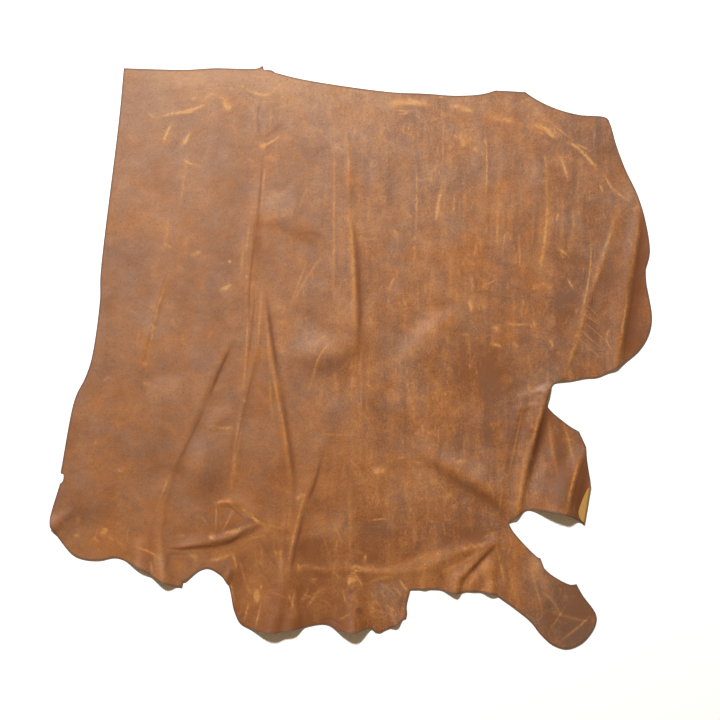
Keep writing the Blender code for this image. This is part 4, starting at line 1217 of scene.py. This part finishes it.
class Num:
    """A number that changes over the surface: a node's socket with Python's arithmetic."""

    def __init__(self, nodes: "Nodes", socket: bpy.types.NodeSocket) -> None:
        """Wrap a float socket of a node tree."""
        self.nodes = nodes
        self.socket = socket

    def _math(self, operation: str, left: Any, right: Any) -> "Num":
        """Add a Math node on two values."""
        node = self.nodes.add("ShaderNodeMath", {"operation": operation}, {0: left, 1: right})
        return Num(self.nodes, node.outputs[0])

    def __add__(self, other: Any) -> "Num":
        """Sum."""
        return self._math("ADD", self, other)

    def __radd__(self, other: Any) -> "Num":
        """Sum, from the right."""
        return self._math("ADD", other, self)

    def __sub__(self, other: Any) -> "Num":
        """Difference."""
        return self._math("SUBTRACT", self, other)

    def __rsub__(self, other: Any) -> "Num":
        """Difference, from the right."""
        return self._math("SUBTRACT", other, self)

    def __mul__(self, other: Any) -> "Num":
        """Product."""
        return self._math("MULTIPLY", self, other)

    def __rmul__(self, other: Any) -> "Num":
        """Product, from the right."""
        return self._math("MULTIPLY", other, self)

    def within(self) -> "Num":
        """The number kept between 0 and 1."""
        return self._math("MINIMUM", self._math("MAXIMUM", self, 0.0), 1.0)

    def step(self, low: float, high: float) -> "Num":
        """A smooth step from 0 at low to 1 at high, or the other way where low is the larger.

        Args:
            low: where the step starts.
            high: where the step ends.

        Returns:
            The step, from 0 to 1.
        """
        if low > high:
            return 1.0 - self.step(high, low)
        settings = {"interpolation_type": "SMOOTHSTEP"}
        inputs = {0: self, 1: low, 2: high, 3: 0.0, 4: 1.0}
        return Num(self.nodes, self.nodes.add("ShaderNodeMapRange", settings, inputs).outputs[0])

    def rise(self, shape: Rise) -> "Num":
        """A smooth step between the shape's ends, times its span, on top of its least value.

        Args:
            shape: the ends, span and least value.

        Returns:
            The risen number.
        """
        risen = self.step(shape.low, shape.high)
        if shape.span != 1.0:
            risen = risen * shape.span
        return risen + shape.least if shape.least else risen


class Nodes:
    """One material's node tree, finished by its Principled shader."""

    def __init__(self, name: str) -> None:
        """Start a material with its Principled shader.

        Args:
            name: the material's name.
        """
        self.material = bpy.data.materials.new(name)
        self.material.use_nodes = True
        self.tree = self.material.node_tree
        self.shader = self.tree.nodes["Principled BSDF"]

    def put(self, socket: bpy.types.NodeSocket, value: Any) -> None:
        """Link a socket or number to a socket, or set a constant on it.

        Args:
            socket: the input to fill.
            value: what goes into it.
        """
        if isinstance(value, Num):
            value = value.socket
        if isinstance(value, bpy.types.NodeSocket):
            self.tree.links.new(value, socket)
        else:
            socket.default_value = value

    def add(self, kind: str, settings: dict[str, Any], inputs: dict[Any, Any]) -> bpy.types.Node:
        """Add a node.

        Args:
            kind: the node's type.
            settings: its own settings, which are set first.
            inputs: values or links of its sockets, by name or number.

        Returns:
            The node.
        """
        node = self.tree.nodes.new(kind)
        for name, value in settings.items():
            setattr(node, name, value)
        for key, value in inputs.items():
            self.put(node.inputs[key], value)
        return node

    def place(self) -> bpy.types.NodeSocket:
        """The place on the piece, in metres."""
        return self.add("ShaderNodeTexCoord", {}, {}).outputs["Object"]

    def stretched(self, place: bpy.types.NodeSocket, scale: tuple, turn: float
                  ) -> bpy.types.NodeSocket:
        """A place turned by some degrees about Z and then scaled, for drawn-out patterns."""
        inputs = {"Vector": place, "Rotation": (0.0, 0.0, math.radians(turn)), "Scale": scale}
        return self.add("ShaderNodeMapping", {}, inputs).outputs[0]

    def noise(self, place: bpy.types.NodeSocket, cloud: Cloud) -> Num:
        """Cloudy noise from 0 to 1 with a mean of about one half.

        Args:
            place: where the noise is read.
            cloud: the noise's settings.

        Returns:
            The noise.
        """
        if cloud.stretch:
            place = self.stretched(place, cloud.stretch, cloud.turn)
        inputs = {"Vector": place, "Scale": cloud.scale, "Detail": cloud.detail,
                  "Roughness": cloud.roughness, "Distortion": cloud.distortion}
        return Num(self, self.add("ShaderNodeTexNoise", {}, inputs).outputs[0])

    def cells(self, place: bpy.types.NodeSocket, scale: float, feature: str = "F1"
              ) -> tuple[Num, bpy.types.NodeSocket]:
        """Scatter cells over a place.

        Args:
            place: where the cells are read.
            scale: cells per metre.
            feature: how the distance is measured.

        Returns:
            Distance to the nearest cell point, in cells, and each cell's own random colour.
        """
        settings = {"voronoi_dimensions": "2D", "feature": feature}
        node = self.add("ShaderNodeTexVoronoi", settings, {"Vector": place, "Scale": scale})
        return Num(self, node.outputs["Distance"]), node.outputs["Color"]

    def parts(self, vector: bpy.types.NodeSocket) -> list[Num]:
        """The three numbers of a vector."""
        node = self.add("ShaderNodeSeparateXYZ", {}, {0: vector})
        return [Num(self, output) for output in node.outputs]

    def stored(self, name: str) -> list[Num]:
        """The three numbers that the mesh stores under a name."""
        node = self.add("ShaderNodeAttribute", {"attribute_name": name}, {})
        return self.parts(node.outputs["Vector"])

    def mix(self, share: Any, first: Any, second: Any) -> bpy.types.NodeSocket:
        """A colour between two, by a share from 0 to 1."""
        inputs = {0: share, 6: first, 7: second}
        return self.add("ShaderNodeMix", {"data_type": "RGBA"}, inputs).outputs[2]

    def bump(self, height: Num) -> bpy.types.NodeSocket:
        """A normal that follows a height in metres."""
        inputs = {"Strength": 1.0, "Distance": 1.0, "Height": height}
        return self.add("ShaderNodeBump", {}, inputs).outputs[0]


@dataclass(frozen=True)
class WaxedGrain:
    """The grain side: waxed leather that pales to orange where it is scuffed or bent, with painted
    highlights on its fold crests and swells and painted shade in its creases, its hollows and along its cut
    edge.
    """

    deep_cool: Colour = (0.156, 0.076, 0.042, 1.0)
    brown_cool: Colour = (0.260, 0.130, 0.073, 1.0)
    pale_cool: Colour = (0.390, 0.207, 0.109, 1.0)
    deep_warm: Colour = (0.186, 0.060, 0.015, 1.0)
    brown_warm: Colour = (0.307, 0.113, 0.031, 1.0)
    pale_warm: Colour = (0.455, 0.188, 0.056, 1.0)
    rubbed_cool: Colour = (0.440, 0.205, 0.078, 1.0)
    rubbed_warm: Colour = (0.418, 0.164, 0.042, 1.0)
    scuffed_cool: Colour = (0.526, 0.287, 0.118, 1.0)
    scuffed_warm: Colour = (0.506, 0.243, 0.075, 1.0)
    # Painted shade: the dark colour that the crease strokes paint into the creases and onto slopes turned
    # from the softbox.
    painted_crease_shade: Colour = (0.160, 0.050, 0.015, 1.0)
    # Dark colour of the pores, also painted along the cut edge as its shade.
    pore_and_edge_shade: Colour = (0.092, 0.049, 0.036, 1.0)
    roughness: float = 0.52
    gloss: float = 0.36
    blotches: Cloud = Cloud(46.0, 3.0, 0.6, 0.8)
    blotch_rise: Rise = Rise(0.50, 0.76)
    wandering: Cloud = Cloud(95.0, 3.0, 0.65)
    wander: float = 1.7
    swelling: Cloud = Cloud(42.0, 2.0)
    swell_span: float = 1.5
    swell_least: float = 0.25
    crease_wander: float = 0.4
    crease_swell: float = 0.5
    crease_line: float = 0.75
    crease_shade: float = 0.45
    core_narrowness: float = 0.5
    halo_narrowness: float = 0.13
    wearing: Cloud = Cloud(42.0, 4.0, 0.7)
    wear_rise: Rise = Rise(0.32, 0.62, 0.85, 0.25)
    grit: Cloud = Cloud(240.0, 3.0, 0.75)
    grit_rise: Rise = Rise(0.34, 0.66, 0.8, 0.40)
    core_share: float = 1.15
    halo_blotches: float = 0.45
    halo_share: float = 0.27
    tail_rise: Rise = Rise(0.20, 0.55)
    layers: tuple = (
        ("large", Cloud(6.0, 2.0, 0.6, 0.3)), ("clouds", Cloud(17.0, 3.0, 0.6, 0.6)),
        ("mottle", Cloud(46.0, 3.0, 0.6, 0.3)), ("fine", Cloud(330.0, 3.0, 0.7)),
        ("tint", Cloud(18.0, 3.0, 0.6, 0.5, (1.0, 1.0, 1.0), 40.0)),
        ("bands", Cloud(1.0, 3.0, 0.6, 0.0, (36.0, 5.0, 20.0), -3.0)),
    )
    tone_middle: float = 0.45
    tone_weights: tuple = (
        Weight("tone_cast", 0.32), Weight("large", 0.60), Weight("clouds", 0.45, 0.22),
        Weight("bands", 0.75), Weight("mottle", 0.38, 0.18), Weight("fine", 0.72, 0.50),
        # crest pales the grain near fold crests: the orange of pull-up leather where it is bent, and partly
        # a painted highlight on the crests.
        Weight("worn", 0.42), Weight("crest", 0.16),
    )
    warmth_middle: float = 0.40
    warmth_weights: tuple = (
        Weight("warm_cast", 0.55), Weight("large", 1.2), Weight("tint", 1.6),
        Weight("bands", 0.7), Weight("mottle", 0.3), Weight("worn", 0.25), Weight("crest", 0.35),
    )
    rough_weights: tuple = (
        Weight("clouds", 0.2), Weight("fine", 0.15), Weight("worn", 0.08), Weight("crease", 0.1),
    )
    rubbed_gain: float = 1.1
    scuffed_gain: float = 1.3
    scuffed_from: float = 0.5
    scuffed_share: float = 0.7
    painted_crease_shade_gain: float = 0.84
    pored_share: float = 0.7
    # Painted shade along the cut edge: how far in it reaches and how strong it is.
    edge_shade_rise: Rise = Rise(4.5 * MM, 0.5 * MM)
    edge_shade_share: float = 0.75
    patches: Cloud = Cloud(9.0, 2.0)
    patch_rise: Rise = Rise(0.40, 0.62)
    patch_tail: float = 0.3
    patch_share: float = 0.35
    streaks: Cloud = Cloud(1.0, 3.0, 0.6, 0.3, (80.0, 13.0, 60.0), -3.0)
    streak_rise: Rise = Rise(0.50, 0.76, 0.7)
    dabs: Cloud = Cloud(1.0, 2.0, 0.6, 0.3, (170.0, 48.0, 60.0), 5.0)
    dab_rise: Rise = Rise(0.58, 0.74, 0.9)
    coming: Cloud = Cloud(7.5, 1.0)
    coming_rise: Rise = Rise(0.40, 0.62, 0.7, 0.3)
    pore_cells: float = 75.0
    pore_choice: Rise = Rise(0.66, 0.70)
    pore_rise: Rise = Rise(0.10, 0.05)
    pebble_cells: float = 620.0
    pebble_height: float = 0.08 * MM
    wrinkles: Cloud = Cloud(1.0, 4.0, 0.6, 0.8, (150.0, 60.0, 90.0), 6.0)
    wrinkle_height: float = 0.30 * MM
    dents: Cloud = Cloud(38.0, 3.0, 0.5)
    dent_height: float = 0.8 * MM
    scuff_height: float = 0.15 * MM
    crease_depth: float = 0.40 * MM

    def dress(self) -> Nodes:
        """Make the material.

        Returns:
            The finished node tree.
        """
        nodes = Nodes("waxed_grain")
        place = nodes.place()
        # The first stored number is the patches' tone: painted light and shade of the folds together with
        # the leather's own tone.
        tone_cast, warm_cast, crest = nodes.stored("cast")
        across, _, to_edge = nodes.stored("flat_place")
        tail = across.rise(self.tail_rise)
        blotch = nodes.noise(place, self.blotches).rise(self.blotch_rise)
        wander = (nodes.noise(place, self.wandering) - NOISE_MEAN) * self.wander
        swell = nodes.noise(place, self.swelling) * self.swell_span + self.swell_least
        scuff = self.chalk(nodes, place, *self.lines(nodes, "scuff", wander, swell), blotch)
        line, shade = self.lines(nodes, "crease", wander * self.crease_wander,
                                 swell * self.crease_swell + self.crease_swell)
        crease = line * self.crease_line + shade * self.crease_shade
        parts = {name: nodes.noise(place, cloud) - NOISE_MEAN for name, cloud in self.layers}
        parts["bands"] = parts["bands"] * tail
        worn = self.worn(nodes, place, tail, blotch)
        parts.update(tone_cast=tone_cast, warm_cast=warm_cast, crest=crest, worn=worn,
                     crease=crease)
        tone = self.weighed(parts, tail, self.tone_middle, self.tone_weights)
        warmth = self.weighed(parts, tail, self.warmth_middle, self.warmth_weights).within()
        cool = self.ramp(nodes, tone, self.deep_cool, self.brown_cool, self.pale_cool)
        warm = self.ramp(nodes, tone, self.deep_warm, self.brown_warm, self.pale_warm)
        colour = nodes.mix(warmth, cool, warm)
        rubbed = nodes.mix(warmth, self.rubbed_cool, self.rubbed_warm)
        scuffed = nodes.mix(warmth, self.scuffed_cool, self.scuffed_warm)
        colour = nodes.mix((scuff * self.rubbed_gain).within(), colour, rubbed)
        heart = (scuff * self.scuffed_gain - self.scuffed_from).within() * self.scuffed_share
        colour = nodes.mix(heart, colour, scuffed)
        # Painted shade: darken the grain towards the crease colour along the crease strokes.
        colour = nodes.mix((crease * self.painted_crease_shade_gain).within(), colour, self.painted_crease_shade)
        colour = nodes.mix(self.pores(nodes, place) * self.pored_share, colour, self.pore_and_edge_shade)
        # Painted shade: the grain darkens to the pore colour within a few millimetres of the cut edge, a
        # dark outline for the shaded edge.
        rim = to_edge.rise(self.edge_shade_rise) * self.edge_shade_share
        colour = nodes.mix(rim, colour, self.pore_and_edge_shade)
        nodes.put(nodes.shader.inputs["Base Color"], colour)
        rough = self.weighed(parts, tail, self.roughness, self.rough_weights)
        nodes.put(nodes.shader.inputs["Roughness"], rough.within())
        nodes.put(nodes.shader.inputs["Normal"], self.relief(nodes, place, scuff, crease))
        nodes.shader.inputs["Specular IOR Level"].default_value = self.gloss
        return nodes

    @staticmethod
    def weighed(parts: dict[str, Num], tail: Num, middle: float, weights: tuple) -> Num:
        """Add up layers: the middle, and each layer times its share there.

        Args:
            parts: the layers by name.
            tail: 0 on the neck side to 1 on the tail side.
            middle: what the sum starts from.
            weights: the layers to add, in order.

        Returns:
            The sum.
        """
        total: Any = middle
        for weight in weights:
            share: Any = weight.share
            if weight.tail_share:
                share = tail * weight.tail_share + weight.share
            total = total + parts[weight.layer] * share
        return total

    @staticmethod
    def ramp(nodes: Nodes, tone: Num, deep: Colour, brown: Colour, pale: Colour
             ) -> bpy.types.NodeSocket:
        """A colour from deep through brown to pale as the tone goes from 0 to 1."""
        lower = nodes.mix((tone * 2.0).within(), deep, brown)
        return nodes.mix((tone * 2.0 - 1.0).within(), lower, pale)

    def lines(self, nodes: Nodes, name: str, wander: Num, swell: Num) -> tuple[Num, Num]:
        """Draw the strokes: strength times (1 - narrowness * distance squared) squared.

        Args:
            nodes: the material's nodes.
            name: the stored pair of gap and depth to read.
            wander: what moves the lines sideways, in half widths.
            swell: what the distance is multiplied by, so that the lines swell and thin.

        Returns:
            The lines, and a soft halo of the same shape, about twice as wide.
        """
        cores: Any = 0.0
        halos: Any = 0.0
        for even, depth in zip(nodes.stored(name + "_gap"), nodes.stored(name + "_depth")):
            gap = even * swell + wander
            squared = gap * gap
            core = (1.0 - squared * self.core_narrowness).within()
            spread = (1.0 - squared * self.halo_narrowness).within()
            cores = core * core * depth + cores
            halos = spread * spread * depth + halos
        return cores.within(), halos.within()

    def chalk(self, nodes: Nodes, place: bpy.types.NodeSocket, cores: Num, halos: Num,
              blotch: Num) -> Num:
        """Wear the scuffs unevenly: they come and go, and their halos are spotty.

        Args:
            nodes: the material's nodes.
            place: where the patterns are read.
            cores: the scuffs' lines.
            halos: the scuffs' halos.
            blotch: the spots of the halos.

        Returns:
            How far the leather is scuffed, from 0 to 1.
        """
        wear = nodes.noise(place, self.wearing).rise(self.wear_rise)
        grit = nodes.noise(place, self.grit).rise(self.grit_rise)
        haze = halos * (blotch * self.halo_blotches + self.halo_share)
        return (cores * wear * grit * self.core_share + haze).within()

    def worn(self, nodes: Nodes, place: bpy.types.NodeSocket, tail: Num, blotch: Num) -> Num:
        """Small pale wear: blotches all over, and streaks from back to belly past the ribs.

        Args:
            nodes: the material's nodes.
            place: where the patterns are read.
            tail: 0 on the neck side to 1 on the tail side.
            blotch: the blotches.

        Returns:
            How far the leather is worn, from 0 to 1.
        """
        patchy = nodes.noise(place, self.patches).rise(self.patch_rise)
        streaks = nodes.noise(place, self.streaks).rise(self.streak_rise)
        dabs = nodes.noise(place, self.dabs).rise(self.dab_rise)
        often = nodes.noise(place, self.coming).rise(self.coming_rise) * tail
        spotted = blotch * patchy * (tail * self.patch_tail + self.patch_share)
        return (spotted + (streaks + dabs) * often).within()

    def pores(self, nodes: Nodes, place: bpy.types.NodeSocket) -> Num:
        """Scattered dark pores, a millimetre or two wide, in some of the cells of a scatter."""
        gap, own = nodes.cells(place, self.pore_cells)
        return gap.rise(self.pore_rise) * nodes.parts(own)[0].rise(self.pore_choice)

    def relief(self, nodes: Nodes, place: bpy.types.NodeSocket, scuff: Num, crease: Num
               ) -> bpy.types.NodeSocket:
        """Grain pebbles, fine wrinkles, raised scuffs and sunk creases as heights in metres.

        Args:
            nodes: the material's nodes.
            place: where the patterns are read.
            scuff: how far the leather is scuffed.
            crease: how far it is creased.

        Returns:
            The normal that follows them.
        """
        pebbles, _ = nodes.cells(place, self.pebble_cells, "SMOOTH_F1")
        wrinkles = nodes.noise(place, self.wrinkles) * self.wrinkle_height
        dents = nodes.noise(place, self.dents) * self.dent_height
        height = (pebbles * self.pebble_height + wrinkles + dents
                  + scuff * self.scuff_height - crease * self.crease_depth)
        return nodes.bump(height)


@dataclass(frozen=True)
class Suede:
    """The flesh side: ochre suede with a short nap."""

    nap: Colour = (0.470, 0.256, 0.070, 1.0)
    shade: Colour = (0.330, 0.168, 0.040, 1.0)
    roughness: float = 0.92
    gloss: float = 0.2
    clouds: Cloud = Cloud(26.0, 4.0, 0.6, 0.5)
    fibres: Cloud = Cloud(1.0, 3.0, 0.7, 0.0, (900.0, 500.0, 900.0), 35.0)
    shade_middle: float = 0.35
    shade_clouds: float = 1.3
    shade_fibres: float = 0.7
    rough_fibres: float = 0.08
    fibre_height: float = 0.3 * MM
    cloud_height: float = 0.6 * MM

    def dress(self) -> Nodes:
        """Make the material.

        Returns:
            The finished node tree.
        """
        nodes = Nodes("flesh_suede")
        place = nodes.place()
        clouds = nodes.noise(place, self.clouds)
        fibres = nodes.noise(place, self.fibres)
        share = ((clouds - NOISE_MEAN) * self.shade_clouds
                 + (fibres - NOISE_MEAN) * self.shade_fibres + self.shade_middle).within()
        height = fibres * self.fibre_height + clouds * self.cloud_height
        rough = self.roughness + (fibres - NOISE_MEAN) * self.rough_fibres
        nodes.put(nodes.shader.inputs["Base Color"], nodes.mix(share, self.nap, self.shade))
        nodes.put(nodes.shader.inputs["Normal"], nodes.bump(height))
        nodes.put(nodes.shader.inputs["Roughness"], rough)
        nodes.shader.inputs["Specular IOR Level"].default_value = self.gloss
        return nodes


@dataclass(frozen=True)
class CutFibre:
    """The cut edge: brown fibre, dyed darker in places."""

    fibre: Colour = (0.163, 0.081, 0.032, 1.0)
    dyed: Colour = (0.067, 0.030, 0.013, 1.0)
    roughness: float = 0.85
    fibres: Cloud = Cloud(1.0, 3.0, 0.7, 0.0, (700.0, 700.0, 2400.0))
    fibre_rise: Rise = Rise(0.35, 0.65)
    fibre_height: float = 0.3 * MM
    rough_fibres: float = 0.1

    def dress(self) -> Nodes:
        """Make the material.

        Returns:
            The finished node tree.
        """
        nodes = Nodes("cut_fibre")
        place = nodes.place()
        fibres = nodes.noise(place, self.fibres)
        share = fibres.rise(self.fibre_rise)
        rough = self.roughness + (fibres - NOISE_MEAN) * self.rough_fibres
        nodes.put(nodes.shader.inputs["Base Color"], nodes.mix(share, self.dyed, self.fibre))
        nodes.put(nodes.shader.inputs["Normal"], nodes.bump(fibres * self.fibre_height))
        nodes.put(nodes.shader.inputs["Roughness"], rough)
        return nodes


@dataclass
class Studio:
    """A pale floor, one large soft light from beyond the back line, and a camera overhead."""

    floor_size: float = 6.0
    floor_level: float = -0.2 * MM
    floor_colour: Colour = (0.98, 0.98, 0.98, 1.0)
    floor_roughness: float = 0.9
    key_place: tuple = (-1.6, 4.5, 4.6)
    key_size: float = 0.75
    key_power: float = 735.0
    key_colour: tuple = (0.94, 0.975, 1.0)
    sky_colour: Colour = (1.0, 0.70, 0.42, 1.0)
    sky_strength: float = 0.235
    camera_height: float = 3.4
    frame_width: float = 1.3889
    frame_middle: tuple = (0.0177, -0.0052)
    film_width_mm: float = 36.0

    def build(self) -> None:
        """Make the floor, the lights and the camera."""
        self.make_floor()
        self.make_light()
        self.make_camera()
        bpy.context.scene.view_settings.view_transform = "Standard"

    def make_floor(self) -> None:
        """A plain square on which the hide rests, a hair below its flesh side."""
        half, level = self.floor_size / 2, self.floor_level
        corners = [(-half, -half, level), (half, -half, level), (half, half, level),
                   (-half, half, level)]
        mesh = bpy.data.meshes.new("floor")
        mesh.from_pydata(corners, [], [(0, 1, 2, 3)])
        floor = bpy.data.objects.new("floor", mesh)
        bpy.context.scene.collection.objects.link(floor)
        nodes = Nodes("floor_paint")
        nodes.shader.inputs["Base Color"].default_value = self.floor_colour
        nodes.shader.inputs["Roughness"].default_value = self.floor_roughness
        nodes.shader.inputs["Specular IOR Level"].default_value = 0.0
        mesh.materials.append(nodes.material)

    def make_light(self) -> None:
        """The soft light, aimed at the middle of the hide, and an even, dim, warm sky."""
        lamp = bpy.data.lights.new("softbox", "AREA")
        lamp.shape = "DISK"
        lamp.size = self.key_size
        lamp.energy = self.key_power
        lamp.color = self.key_colour
        holder = bpy.data.objects.new("softbox", lamp)
        holder.location = self.key_place
        holder.rotation_euler = (-Vector(self.key_place)).to_track_quat("-Z", "Y").to_euler()
        bpy.context.scene.collection.objects.link(holder)
        sky = bpy.data.worlds.new("sky")
        sky.use_nodes = True
        background = sky.node_tree.nodes["Background"]
        background.inputs["Color"].default_value = self.sky_colour
        background.inputs["Strength"].default_value = self.sky_strength
        bpy.context.scene.world = sky

    def make_camera(self) -> None:
        """A camera straight above, whose frame is as wide as the photograph at the table."""
        camera = bpy.data.cameras.new("overhead")
        camera.sensor_width = self.film_width_mm
        camera.lens = self.film_width_mm * self.camera_height / self.frame_width
        holder = bpy.data.objects.new("overhead", camera)
        holder.location = (*self.frame_middle, self.camera_height)
        bpy.context.scene.collection.objects.link(holder)
        bpy.context.scene.camera = holder


def main() -> None:
    """Build the hide and its studio, and tell the frame what stands for what."""
    logging.basicConfig(level=logging.INFO, format="%(message)s")
    finishes = {Side.FLESH: Suede().dress(), Side.GRAIN: WaxedGrain().dress(),
                Side.CUT: CutFibre().dress()}
    hide = Hide(OUTLINE, FOLDS, SCUFFS, CREASE_STROKES_AND_PAINTED_SHADE, TONE_AND_PAINTED_LIGHT_PATCHES)
    piece = hide.build(finishes)
    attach(piece, BODY)
    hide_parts(NODE)
    Studio().build()
    LOG.info("studio: floor, softbox and overhead camera")


if __name__ == "__main__":
    main()
